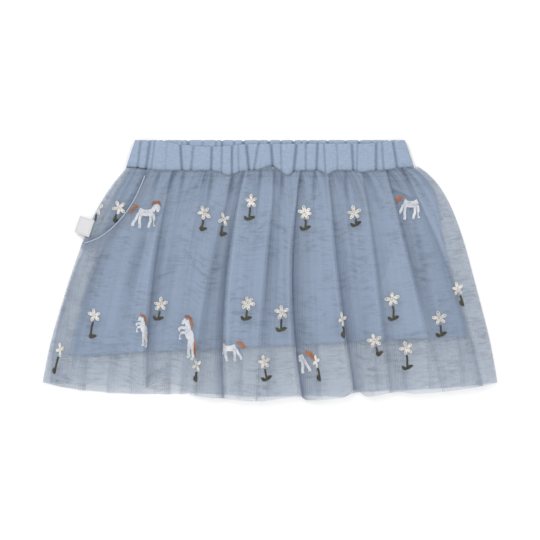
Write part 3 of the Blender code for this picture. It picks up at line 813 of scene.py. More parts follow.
def sheet_grid(name: str, columns: int, rows: int, place: Place) -> tuple[bpy.types.Object, Array, Array]:
    """A cloth surface from a grid that is shaped point by point.

    Args:
        name: the object's name.
        columns: faces across.
        rows: faces down.
        place: gives x, y and z in millimetres for shares across and down.

    Returns:
        The object, and each point's shares across and down.
    """
    mesh = bpy.data.meshes.new(name)
    work = bmesh.new()
    bmesh.ops.create_grid(work, x_segments=columns, y_segments=rows, size=0.5)
    work.to_mesh(mesh)
    work.free()
    points = np.empty(len(mesh.vertices) * 3)
    mesh.vertices.foreach_get("co", points)
    points = points.reshape(-1, 3)
    across, down = points[:, 0] + 0.5, 0.5 - points[:, 1]
    points[:] = np.stack(place(across, down), axis=1) * MM
    mesh.vertices.foreach_set("co", points.ravel())
    mesh.shade_smooth()
    mesh.update()
    made = bpy.data.objects.new(name, mesh)
    bpy.context.scene.collection.objects.link(made)
    return made, across, down


def set_field(made: bpy.types.Object, name: str, values: Array) -> None:
    """Writes a number for each of a mesh's points."""
    layer = made.data.attributes.new(name, "FLOAT", "POINT")
    layer.data.foreach_set("value", np.asarray(values, dtype=np.float32))


def set_cloth(made: bpy.types.Object, across: Array, down: Array) -> None:
    """Writes each point's place on the flat cloth, in metres."""
    layer = made.data.attributes.new("cloth", "FLOAT_VECTOR", "POINT")
    flat = np.stack([across, down, np.zeros_like(across)], axis=1)
    layer.data.foreach_set("vector", flat.astype(np.float32).ravel())


def thicken(made: bpy.types.Object, thick: float) -> None:
    """Gives a cloth surface a thickness, in millimetres."""
    shell = made.modifiers.new("thickness", "SOLIDIFY")
    shell.thickness = thick * MM
    shell.offset = 0.0


def line_gap(x: Array, y: Array, mark: Mark) -> Array:
    """Distance from a mark's line, ends included."""
    run_x, run_y = mark.end_x - mark.x, mark.end_y - mark.y
    share = ((x - mark.x) * run_x + (y - mark.y) * run_y) / (run_x**2 + run_y**2)
    share = np.clip(share, 0.0, 1.0)
    return np.hypot(x - mark.x - share * run_x, y - mark.y - share * run_y)


def patch_share(x: Array, y: Array, corners: Sequence[tuple[float, float]], soft: float) -> Array:
    """How far a point lies inside a patch with straight sides, from 0 to 1 over a soft edge.

    Args:
        x: places across.
        y: places up.
        corners: the patch's corners, anticlockwise.
        soft: the width of the edge.

    Returns:
        Shares from 0 to 1.
    """
    inside = np.full_like(x, np.inf)
    for (ax, ay), (bx, by) in zip(corners, corners[1:] + corners[:1]):
        side = ((bx - ax) * (y - ay) - (by - ay) * (x - ax)) / math.hypot(bx - ax, by - ay)
        inside = np.minimum(inside, side)
    return ease(inside / soft + 0.5)


def painted_fold_light(form: Form, folds: Sequence[Fold], x: Array, y: Array) -> tuple[Array, Array]:
    """Painted shade in the folds' valleys and painted highlight along their ridges.

    Args:
        form: the garment's form.
        folds: the folds that lie on the cloth.
        x: places across.
        y: places up.

    Returns:
        Painted shade and painted highlight, from 0 to 1.
    """
    lit = np.ones_like(x)
    rim = np.zeros_like(x)
    for fold in folds:
        away = (x - fold.place(y)) * fold.steep.value / form.fan(y)
        deep = at_three(fold.dark, y)
        # Painted shade: sharp on the steep side, spreading on the soft side
        soft = 0.6 * np.exp(-np.abs(away) / fold.shade) + 0.4 * np.exp(-np.abs(away) / 1.5)
        shade = np.where(away > 0.0, bell(away / 0.8), soft)
        lit *= 1.0 - deep * shade
        # Painted highlight on the ridge at the top of the steep side
        rim = np.maximum(rim, fold.rim * np.minimum(2.0 * deep, 1.0) * bell((away - 3.6) / 1.7))
    return 1.0 - lit, rim


class Gather(NamedTuple):
    """A short narrow gather that runs down from the waist seam."""

    at: float
    wide: float
    long: float
    deep: float


@dataclass
class NetSkirt:
    """The front and back panels of net."""

    form: Form
    front_grid: tuple[int, int] = (470, 200)
    back_grid: tuple[int, int] = (300, 90)
    flat_wide: float = 0.50
    flat_long: float = 0.217
    gathers: int = 58
    gather_seed: int = 11
    seam_reach: float = 5.0
    patch_light: float = 0.22
    seam_pull: float = 0.62

    def __post_init__(self) -> None:
        """Draws the short gathers."""
        draw = random.Random(self.gather_seed)
        self.rows = [
            Gather(
                (k + draw.uniform(0.1, 0.9)) / self.gathers,
                draw.uniform(0.7, 1.9),
                draw.uniform(12.0, 60.0),
                draw.uniform(0.2, 0.75),
            )
            for k in range(self.gathers)
        ]

    def gather_look(self, x: Array, y: Array) -> Array:
        """How deep the short gathers are at a point, from 0 to 1."""
        left, right = self.form.side_edges(y)
        share = (x - left) / (right - left)
        drop = np.maximum(0.0, self.form.seam_y(x) - y)
        lit = np.ones_like(x)
        for row in self.rows:
            away = (share - row.at) * (right - left) / (row.wide * (1.0 + drop / 60.0))
            lit *= 1.0 - row.deep * bell(away) * (1.0 - ease(drop / row.long))
        return 1.0 - lit

    def front_z(self, x: Array, y: Array) -> Array:
        """Height of the front net, at the middle of its wall, drawn down to the side seams."""
        pull = 1.0 - ease(self.form.from_side(x, y) / self.seam_reach)
        low = self.form.front_under(x, y) + 0.5 * self.form.cloth
        return low - self.seam_pull * pull - 0.9 * self.gather_look(x, y)

    def front_plan(self, across: Array, down: Array) -> tuple[Array, Array]:
        """Ground plan of the front panel, for shares across and down it."""
        form = self.form
        top_x = mix(*form.side_edges(form.band_seam_y), across)
        hem_x = mix(*form.side_edges(HEM_Y), across)
        y = mix(form.seam_y(top_x) - form.seam_gap + 1.2, form.front_hem(hem_x), down)
        return mix(*form.side_edges(y), across), y

    def back_plan(self, across: Array, down: Array) -> tuple[Array, Array]:
        """Ground plan of the back panel, for shares across and down it."""
        form = self.form
        top_x = mix(*form.side_edges(form.band_seam_y), across)
        hem_x = mix(*form.side_edges(HEM_Y), across)
        y = mix(form.back_seam_y(top_x) - form.seam_gap, form.back_hem(hem_x), down)
        return mix(*form.side_edges(y), across), y

    def front(self, finish: bpy.types.Material) -> bpy.types.Object:
        """Builds the front panel, with the pocket mouth cut out of it.

        Args:
            finish: the net's material.

        Returns:
            The front panel.
        """

        def place(across: Array, down: Array) -> tuple[Array, Array, Array]:
            """Point on the front panel, from its shares across and down."""
            x, y = self.front_plan(across, down)
            return x, y, self.front_z(x, y)

        made, across, down = sheet_grid("net_front", *self.front_grid, place)
        x, y = self.front_plan(across, down)
        # Painted shade in the front's fold valleys and painted highlight on their ridges
        shade_and_tone, rim = painted_fold_light(self.form, FRONT_FOLDS, x, y)
        # The marks add painted shade along creases and painted highlight along fold edges
        for mark in MARKS:
            near = bell(line_gap(x, y, mark) / mark.wide)
            shade_and_tone = 1.0 - (1.0 - shade_and_tone) * (1.0 - mark.dark * near)
            rim = np.maximum(rim, mark.rim * near)
        # The patch at the right is mixed towards the same light colour as the painted highlights
        rim = np.maximum(rim, self.patch_light * patch_share(x, y, PALE_PATCH, 2.0))
        # Painted shade in the short gathers under the waist seam
        set_field(made, "shade_and_tone", 1.0 - (1.0 - shade_and_tone) * (1.0 - 0.8 * self.gather_look(x, y)))
        set_field(made, "rim", rim)
        set_cloth(made, across * self.flat_wide, down * self.flat_long)
        self.cut_mouth(made)
        made.data.materials.append(finish)
        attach(made, "root")
        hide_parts("skirt_front")
        return made

    def cut_mouth(self, made: bpy.types.Object) -> None:
        """Cuts the pocket mouth out of the front panel and draws its edge onto the mouth's line."""
        form = self.form
        mesh = made.data
        points = np.empty(len(mesh.vertices) * 3)
        mesh.vertices.foreach_get("co", points)
        points = points.reshape(-1, 3) / MM
        inside = form.in_mouth(points[:, 0], points[:, 1])
        spots = np.stack(form.mouth_point(np.linspace(0.0, 1.0, 1200)), axis=1)
        work = bmesh.new()
        work.from_mesh(mesh)
        gone = [face for face in work.faces if all(inside[vert.index] for vert in face.verts)]
        gone_set = set(gone)
        edge = [
            vert
            for vert in work.verts
            if inside[vert.index] and any(face not in gone_set for face in vert.link_faces)
        ]
        starts = np.array([(vert.co.x, vert.co.y) for vert in edge]) / MM
        nearest = np.argmin(np.hypot(*(starts[:, None, :] - spots[None, :, :]).transpose(2, 0, 1)), axis=1)
        ends = spots[nearest]
        heights = self.front_z(ends[:, 0], ends[:, 1])
        for vert, (x, y), z in zip(edge, ends, heights):
            vert.co = (x * MM, y * MM, z * MM)
        bmesh.ops.delete(work, geom=gone, context="FACES")
        work.to_mesh(mesh)
        work.free()

    def back(self, finish: bpy.types.Material) -> bpy.types.Object:
        """Builds the back panel.

        Args:
            finish: the net's material.

        Returns:
            The back panel.
        """

        def place(across: Array, down: Array) -> tuple[Array, Array, Array]:
            """Point on the back panel, from its shares across and down."""
            x, y = self.back_plan(across, down)
            pull = 1.0 - ease(self.form.from_side(x, y) / self.seam_reach)
            return x, y, self.form.back_under(x, y) + 0.5 * self.form.cloth + self.seam_pull * pull

        made, across, down = sheet_grid("net_back", *self.back_grid, place)
        # Painted shade and painted highlight of the back's folds
        shade_and_tone, rim = painted_fold_light(self.form, self.form.back_folds, *self.back_plan(across, down))
        set_field(made, "shade_and_tone", shade_and_tone)
        set_field(made, "rim", rim)
        set_cloth(made, across * self.flat_wide + 0.7, down * self.flat_long)
        made.data.materials.append(finish)
        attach(made, "root")
        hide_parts("skirt_back")
        return made


@dataclass
class Lining:
    """The two lining panels, shorter and narrower than the net."""

    form: Form
    grid: tuple[int, int] = (300, 80)
    thick: float = 0.6
    front_drop: float = 5.0
    flat: tuple[float, float] = (0.36, 0.18)
    ripple: float = 0.25
    # Strength of the painted shadows of the front net's folds on the lining
    shaded: float = 0.75

    def plan(self, layer: Layer, across: Array, down: Array) -> tuple[Array, Array]:
        """Ground plan of a panel, for shares across and down it."""
        form = self.form
        y_hem = form.lining_hem_y(mix(*form.side_edges(MIDDLE_Y), across))
        y_seam = form.back_seam_y(mix(-form.waist_width, form.waist_width, across) / 2.0)
        y = mix(y_seam - form.seam_gap - layer.value * self.front_drop, y_hem, down)
        left, right = form.side_edges(y)
        inset = form.lining_inset(y)
        return mix(left + inset, right - inset, across), y

    def panel(self, name: str, layer: Layer, node: str, finish: bpy.types.Material) -> bpy.types.Object:
        """Builds a lining panel.

        Args:
            name: the piece's name.
            layer: back or front.
            node: the solid that it stands for.
            finish: the lining's material.

        Returns:
            The panel.
        """

        def place(across: Array, down: Array) -> tuple[Array, Array, Array]:
            """Point on the lining panel, from its shares across and down."""
            x, y = self.plan(layer, across, down)
            wave = self.ripple * np.sin(across * 61.0 + 3.0 * np.sin(7.0 * across)) * ease(down / 0.2)
            return x, y, self.form.lining_under(x, y, layer) + 0.5 * self.form.cloth + 0.5 * wave

        made, across, down = sheet_grid(name, *self.grid, place)
        # Two darker lines near the hem
        hem = 0.2 * bell((down - 0.955) / 0.006) + 0.1 * bell((down - 1.0) / 0.01)
        # Painted shadows of the front net's folds
        shade, _ = painted_fold_light(self.form, FRONT_FOLDS, *self.plan(layer, across, down))
        set_field(made, "shade_and_tone", 1.0 - (1.0 - hem) * (1.0 - self.shaded * shade))
        set_cloth(made, across * self.flat[0], down * self.flat[1])
        made.data.materials.append(finish)
        thicken(made, self.thick)
        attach(made, "root")
        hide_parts(node)
        return made


class BandCrease(NamedTuple):
    """A gather in the casing: its x at the top and at the seam, depth and half width."""

    top: float
    seam: float
    deep: float
    wide: float


BAND_CREASES = (
    BandCrease(-119.5, -123.2, 0.7, 2.0),
    BandCrease(-111.1, -115.0, 0.9, 2.4),
    BandCrease(-106.5, -110.2, 0.5, 1.6),
    BandCrease(-95.0, -97.0, 0.3, 1.8),
    BandCrease(-83.3, -81.5, 1.0, 2.4),
    BandCrease(-70.4, -73.2, 0.7, 2.2),
    BandCrease(-53.7, -54.6, 0.9, 2.2),
    BandCrease(-44.4, -45.0, 0.6, 1.8),
    BandCrease(-35.2, -35.2, 0.9, 2.0),
    BandCrease(-29.6, -28.8, 0.5, 1.6),
    BandCrease(-22.2, -19.4, 1.0, 2.4),
    BandCrease(-10.2, -14.8, 0.7, 2.0),
    BandCrease(0.9, 2.8, 1.0, 2.4),
    BandCrease(10.2, 10.6, 0.5, 1.8),
    BandCrease(25.0, 22.2, 1.0, 2.6),
    BandCrease(33.3, 33.3, 0.6, 1.8),
    BandCrease(44.4, 43.1, 0.9, 2.2),
    BandCrease(50.0, 51.4, 0.6, 1.6),
    BandCrease(62.0, 62.8, 0.4, 1.8),
    BandCrease(75.9, 77.3, 0.9, 2.2),
    BandCrease(81.5, 80.6, 0.5, 1.6),
    BandCrease(98.6, 98.6, 0.9, 2.4),
    BandCrease(103.7, 105.6, 0.6, 1.8),
    BandCrease(113.9, 118.5, 0.9, 2.2),
)


@dataclass
class Waistband:
    """The gathered elastic casing, front and back."""

    form: Form
    grid: tuple[int, int] = (520, 36)
    flat: tuple[float, float] = (0.30, 0.032)
    press: float = 1.7
    narrow: float = 0.55
    hem_scallop: float = 1.0
    scallop: float = 0.9
    side_round: float = 6.0
    side_share: float = 0.5
    edge_round: float = 2.2
    stitch_in: float = 2.6
    stitch_wide: float = 0.9
    stitch_deep: float = 0.35

    def creases(self, x: Array, y: Array) -> Array:
        """How far the casing is pressed in by its gathers at a point, from 0 to 1."""
        form = self.form
        share = (y - form.band_seam_y) / (form.band_top_y - form.band_seam_y)
        deep = np.zeros_like(x)
        for row in BAND_CREASES:
            away = (x - mix(row.seam, row.top, share)) / (self.narrow * row.wide)
            deep = np.maximum(deep, row.deep * bell(away))
        return deep

    def top_y(self, x: Array, layer: Layer) -> Array:
        """The band's top edge, which each gather pulls down a little."""
        lean = x if layer is Layer.FRONT else -x
        drop = self.form.top_drop(x) if layer is Layer.FRONT else 0.0
        return self.form.band_top_y - drop - self.scallop * self.creases(lean, self.form.band_top_y + 0.0 * x)

    def panel(self, name: str, layer: Layer, node: str, finish: bpy.types.Material) -> bpy.types.Object:
        """Builds one half of the casing as a thin flat tube.

        Args:
            name: the piece's name.
            layer: back or front.
            node: the solid that it stands for.
            finish: the band's material.

        Returns:
            The half band.
        """
        form = self.form
        front = layer is Layer.FRONT

        def bottom(x: Array) -> Array:
            """Height of the band's lower edge."""
            if not front:
                return form.back_seam_y(x)
            return form.seam_y(x) + self.hem_scallop * self.creases(x, form.band_seam_y + 0.0 * x)

        def plan(across: Array, down: Array) -> tuple[Array, Array]:
            """Place on the ground plan, from the shares across and down."""
            top_x = mix(*form.band_sides(form.band_top_y), across)
            seam_x = mix(*form.band_sides(form.band_seam_y), across)
            y = mix(self.top_y(top_x, layer), bottom(seam_x), down)
            return mix(*form.band_sides(y), across), y

        def look(x: Array, y: Array) -> Array:
            """How deep the creases are on this half."""
            return self.creases(x if front else -x, y)

        def place(across: Array, down: Array) -> tuple[Array, Array, Array]:
            """Point on this half of the band, from its shares across and down."""
            x, y = plan(across, down)
            left, right = form.band_sides(y)
            ends = rounded(np.minimum(x - left, right - x) / self.side_round)
            edge = np.minimum(self.top_y(x, layer) - y, y - bottom(x))
            rim = rounded(edge / self.edge_round)
            stitch = self.stitch_deep * bell((edge - self.stitch_in) / self.stitch_wide)
            low = form.band_thick + form.seam_gap if front else 0.0
            full = mix(self.side_share, 1.0, ends) * form.band_thick
            return x, y, low + full * mix(0.4, 1.0, rim) - self.press * look(x, y) - stitch - 0.3

        made, across, down = sheet_grid(name, *self.grid, place)
        x, y = plan(across, down)
        # Painted shade in the gathers' creases and along the lower seam
        drop = bottom(x) - y
        near_seam = bell(drop / 2.0)
        set_field(made, "shade_and_tone", 1.0 - (1.0 - 0.5 * look(x, y)) * (1.0 - 0.35 * near_seam))
        set_cloth(made, across * self.flat[0], down * self.flat[1] + (0.0 if front else 0.3))
        made.data.materials.append(finish)
        thicken(made, 0.6)
        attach(made, "root")
        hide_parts(node)
        return made


@dataclass
class Pocket:
    """The facing under the pocket mouth, and the binding on the mouth's edge."""

    form: Form
    skirt: NetSkirt
    grid: tuple[int, int] = (110, 130)
    flat: tuple[float, float] = (0.055, 0.08)
    area: float = 0.0029
    binding_wide: float = 2.0
    binding_ends: tuple[float, float] = (0.145, 0.875)
    binding_steps: int = 160

    def plan(self, across: Array, down: Array) -> tuple[Array, Array]:
        """Ground plan of the facing, from the side seam to a little way under the front."""
        form = self.form

        def inner_at(y: Array) -> Array:
            """Where the facing's inner edge lies, under the front panel."""
            return form.mouth_line(y + form.facing_tuck) + form.facing_tuck

        left = form.left_side(form.band_seam_y)
        y_top = form.seam_y(mix(left, inner_at(form.band_seam_y), across)) - form.seam_gap
        y = mix(y_top, form.facing_end_y, down)
        return mix(form.left_side(y), inner_at(y), across), y

    def facing_z(self, x: Array, y: Array) -> Array:
        """Height of the facing, at the middle of its wall."""
        return self.form.facing_under(x, y) + 0.5 * self.form.cloth

    def facing(self, finish: bpy.types.Material) -> bpy.types.Object:
        """Builds the facing.

        Args:
            finish: the net's material.

        Returns:
            The facing.
        """

        def place(across: Array, down: Array) -> tuple[Array, Array, Array]:
            """Point on the facing, from its shares across and down."""
            x, y = self.plan(across, down)
            return x, y, self.facing_z(x, y)

        made, across, down = sheet_grid("pocket_net", *self.grid, place)
        x, y = self.plan(across, down)
        # Painted shade and painted highlight of the facing's folds
        shade_and_tone, rim = painted_fold_light(self.form, FACING_FOLDS, x, y)
        # Painted shadow along the mouth's edge where the front overhangs, and a little darker all over
        near = bell((self.form.from_mouth(x, y)) / 4.0)
        set_field(made, "shade_and_tone", 1.0 - (1.0 - shade_and_tone) * (1.0 - 0.5 * near) * 0.85)
        set_field(made, "rim", rim)
        set_cloth(made, across * 0.06 + 1.3, down * 0.08)
        made.data.materials.append(finish)
        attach(made, "root")
        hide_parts("pocket_facing")
        return made

    def binding(self, finish: bpy.types.Material) -> bpy.types.Object:
        """Builds the rolled binding along the mouth's edge.

        Args:
            finish: the binding's material.

        Returns:
            The binding.
        """
        work = ThreadWork("pocket_edge", finish, sides=2)
        shares = np.linspace(*self.binding_ends, self.binding_steps)
        edge = self.form.mouth_point(shares)
        x, y = self.form.mouth_point(shares, -0.35 * self.binding_wide)
        z = self.form.front_under(*edge) + 0.5
        work.strand(x, y, z, 0.6)
        made = work.make()
        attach(made, "root")
        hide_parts("pocket_binding")
        return made


class ThreadWork:
    """Strands of one thread, gathered into one mesh."""

    def __init__(self, name: str, finish: bpy.types.Material, sides: int = 0) -> None:
        """Starts an empty curve.

        Args:
            name: the piece's name.
            finish: the thread's material.
            sides: the bevel's resolution, where 0 gives four sides.
        """
        self.name = name
        self.finish = finish
        self.curve = bpy.data.curves.new(name + "_strands", "CURVE")
        self.curve.dimensions = "3D"
        self.curve.bevel_depth = MM
        self.curve.bevel_resolution = sides
        self.curve.use_fill_caps = True

    def strand(self, x: Array, y: Array, z: Array, radius: float) -> None:
        """Adds a strand along points in millimetres, thinner at its two ends."""
        count = len(x)
        spline = self.curve.splines.new("POLY")
        spline.points.add(count - 1)
        flat = np.stack([x * MM, y * MM, z * MM, np.ones(count)], axis=1)
        spline.points.foreach_set("co", flat.ravel())
        thin = np.full(count, radius)
        thin[0] = thin[-1] = 0.6 * radius
        spline.points.foreach_set("radius", thin)

    def make(self) -> bpy.types.Object:
        """Turns the strands into one smooth mesh.

        Returns:
            The mesh object.
        """
        drawn = bpy.data.objects.new(self.name + "_strands", self.curve)
        bpy.context.scene.collection.objects.link(drawn)
        evaluated = drawn.evaluated_get(bpy.context.evaluated_depsgraph_get())
        mesh = bpy.data.meshes.new_from_object(evaluated)
        bpy.data.objects.remove(drawn)
        mesh.name = self.name
        mesh.shade_smooth()
        mesh.materials.clear()
        mesh.materials.append(self.finish)
        made = bpy.data.objects.new(self.name, mesh)
        bpy.context.scene.collection.objects.link(made)
        return made


@dataclass
class Label:
    """The bare folded tape in the side seam."""

    form: Form
    long: float = 16.5
    out: float = 14.5
    tilt: float = math.radians(-19.0)
    at: tuple[float, float] = (-172.0, 40.9)
    thick: float = 1.2
    droop: float = 0.19
    grid: tuple[int, int] = (48, 48)

    def build(self, finish: bpy.types.Material) -> bpy.types.Object:
        """Builds the tape as one thick sheet, which slopes down away from the seam and bows up a little in
        its middle.

        Args:
            finish: the tape's material.

        Returns:
            The label.
        """
        form = self.form
        inner_x = np.array([self.at[0] + self.out / 2.0])
        seat = float(form.facing_under(inner_x, np.array([self.at[1]]))[0]) + form.cloth + form.seam_gap

        def place(across: Array, down: Array) -> tuple[Array, Array, Array]:
            """Point on the label, from its shares across and down."""
            out = mix(-self.out, 0.0, across)
            along = mix(self.long, -self.long, down) / 2.0
            middle = out + self.out / 2.0
            x = self.at[0] + middle * math.cos(self.tilt) - along * math.sin(self.tilt)
            y = self.at[1] + middle * math.sin(self.tilt) + along * math.cos(self.tilt)
            curl = 0.35 * np.sin(np.pi * across) * np.cos(2.0 * along / self.long)
            return x, y, seat + self.droop * out + 0.5 * self.thick + curl

        made, across, down = sheet_grid("label_cloth", *self.grid, place)
        from_side = np.minimum(across, 1.0 - across) * self.out
        from_end = np.minimum(down, 1.0 - down) * self.long
        edge = np.minimum(from_side, from_end)
        set_field(made, "shade_and_tone", 0.25 * bell((edge - 1.3) / 0.35))
        set_cloth(made, across * self.out * MM, down * self.long * MM)
        made.data.materials.append(finish)
        thicken(made, self.thick)
        rounding = made.modifiers.new("edge", "BEVEL")
        rounding.width = 0.25 * MM
        rounding.segments = 2
        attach(made, "root")
        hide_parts("side_label")
        self.long * MM
        return made


class Flower(NamedTuple):
    """A stitched flower: head, foot of the stem, petals, width share, leaves and what hides a part."""

    x: float
    y: float
    foot_x: float
    foot_y: float
    petals: int = 5
    narrow: float = 1.0
    leaves: Leaves = Leaves.PAIR
    hidden: tuple[tuple[int, Side], ...] = ()


FLOWERS = (
    Flower(-139.8, 57.9, -144.5, 44.9, 5, 0.9, Leaves.RIGHT),
    Flower(-159.3, 57.9, -162.0, 46.0, 4, 0.7, Leaves.NONE),
    Flower(-61.1, 53.2, -63.9, 36.6, 5, 1.0, Leaves.RIGHT),
    Flower(-42.6, 47.7, -45.4, 31.9, 4, 0.8, Leaves.RIGHT, ((8, R),)),
    Flower(-17.6, 64.4, -19.4, 46.8, 5, 0.9, Leaves.PAIR),
    Flower(32.4, 53.2, 32.4, 37.5, 6, 1.0, Leaves.PAIR),
    Flower(77.8, 53.2, 79.6, 41.2, 5, 1.0, Leaves.PAIR),
    Flower(-162.1, -41.2, -165.8, -62.5, 5, 0.9, Leaves.RIGHT),
    Flower(-100.9, -31.0, -103.7, -45.8, 5, 1.0, Leaves.PAIR, ((3, L),)),
    Flower(-20.4, -30.1, -22.2, -45.8, 6, 1.0, Leaves.PAIR),
    Flower(11.1, -38.4, 10.2, -56.0, 5, 1.0, Leaves.PAIR),
    Flower(113.0, -26.4, 113.9, -45.8, 5, 1.0, Leaves.PAIR),
    Flower(156.5, -44.0, 158.3, -60.7, 5, 1.0, Leaves.PAIR),
    Flower(173.2, -17.1, 178.7, -32.9, 5, 0.8, Leaves.SINGLE),
    Flower(66.7, -44.9, 68.5, -62.5, 4, 0.55, Leaves.SINGLE),
    Flower(96.3, -64.4, 100.0, -79.2, 5, 1.0, Leaves.RIGHT),
    Flower(125.9, -71.8, 126.9, -91.2, 5, 1.0, Leaves.PAIR),
    Flower(-5.6, -84.7, -2.8, -101.4, 5, 0.9, Leaves.PAIR),
    Flower(42.6, -83.8, 46.3, -102.3, 4, 0.5, Leaves.SINGLE),
    Flower(-194.5, -73.6, -200.0, -95.8, 4, 0.55, Leaves.SINGLE),
    Flower(-67.6, -87.5, -68.5, -103.2, 4, 0.6, Leaves.SINGLE),
)


class Pose(Enum):
    """How a stitched horse stands."""

    STANDING = "standing"
    REARING = "rearing"


class Horse(NamedTuple):
    """A stitched horse: its middle, size, the way it faces, width share, pose and what hides a part."""

    x: float
    y: float
    size: float
    facing: int
    narrow: float
    pose: Pose
    hidden: tuple[tuple[int, Side], ...] = ()


HORSES = (
    Horse(-114.8, 52.0, 1.0, 1, 0.95, Pose.STANDING),
    Horse(130.0, 60.0, 1.0, 1, 0.9, Pose.STANDING, ((17, L), (18, R))),
    Horse(-117.0, -56.0, 0.74, -1, 0.9, Pose.REARING, ((3, R),)),
    Horse(-75.0, -62.5, 1.0, -1, 0.95, Pose.REARING),
    Horse(-37.4, -73.0, 0.85, -1, 1.0, Pose.STANDING, ((8, L),)),
    Horse(24.8, -83.0, 0.95, -1, 1.0, Pose.STANDING, ((12, L),)),
)


class Limb(NamedTuple):
    """A filled stroke of stitches: its middle line and the half widths along it."""

    line: tuple[tuple[float, float], ...]
    widths: tuple[float, ...]


STANDING_COAT = (
    Limb(((-6.8, 3.4), (-2.0, 1.4), (3.0, 1.2), (6.8, 2.8)), (3.0, 2.9, 2.8, 3.0)),
    Limb(((6.0, 2.5), (8.6, 6.0), (10.6, 8.4)), (2.6, 2.2, 2.0)),
    Limb(((9.8, 9.0), (12.0, 5.6), (11.0, 1.4)), (2.2, 2.2, 1.1)),
    Limb(((-7.4, 0.9), (-9.4, -4.0), (-12.4, -8.6), (-13.0, -11.4)), (1.5, 1.0, 0.9, 1.0)),
    Limb(((-5.0, -0.6), (-6.0, -6.0), (-5.6, -10.4), (-6.6, -13.4)), (1.5, 1.0, 0.9, 1.0)),
    Limb(((4.6, -0.4), (4.6, -5.6), (3.2, -9.6), (2.4, -13.0)), (1.4, 1.0, 0.9, 1.0)),
    Limb(((7.0, 0.8), (8.0, -4.6), (7.6, -8.4), (8.6, -11.6)), (1.3, 0.9, 0.8, 0.9)),
)
STANDING_HAIR = (
    Limb(((-7.6, 7.6), (-11.4, 7.0), (-15.0, 3.8), (-16.4, 0.6)), (1.2, 2.2, 2.1, 0.9)),
    Limb(((5.6, 8.2), (8.4, 11.2), (12.0, 11.2), (14.2, 7.6)), (0.8, 1.1, 1.2, 0.6)),
)
REARING_COAT = (
    Limb(((-1.6, -8.4), (-2.2, -2.0), (-0.4, 4.0), (1.2, 9.0)), (2.6, 3.3, 3.5, 3.2)),
    Limb(((1.0, 8.0), (1.2, 13.0), (2.2, 17.0)), (2.9, 2.5, 2.4)),
    Limb(((2.0, 17.0), (5.0, 14.6), (6.4, 12.4)), (2.3, 1.8, 1.0)),
    Limb(((3.0, 8.6), (6.4, 9.8), (9.0, 8.4), (8.6, 5.8)), (1.1, 0.9, 0.9, 0.8)),
    Limb(((3.0, 5.6), (7.0, 4.8), (8.8, 2.0), (8.2, -1.4)), (1.2, 0.9, 0.8, 1.0)),
    Limb(((-0.6, -8.0), (0.2, -12.6), (-0.6, -16.4), (2.2, -17.8)), (1.8, 1.1, 0.9, 0.9)),
    Limb(((-3.0, -7.6), (-3.8, -12.8), (-4.2, -17.0), (-2.0, -20.4)), (1.6, 1.1, 0.9, 0.9)),
)
REARING_HAIR = (
    Limb(((4.2, 19.8), (0.8, 20.2), (-2.6, 16.4), (-3.6, 10.0)), (0.8, 1.3, 1.5, 0.7)),
    Limb(((-5.0, -2.8), (-6.0, -8.0), (-5.8, -13.0), (-6.6, -16.8)), (0.8, 1.3, 1.3, 0.6)),
)


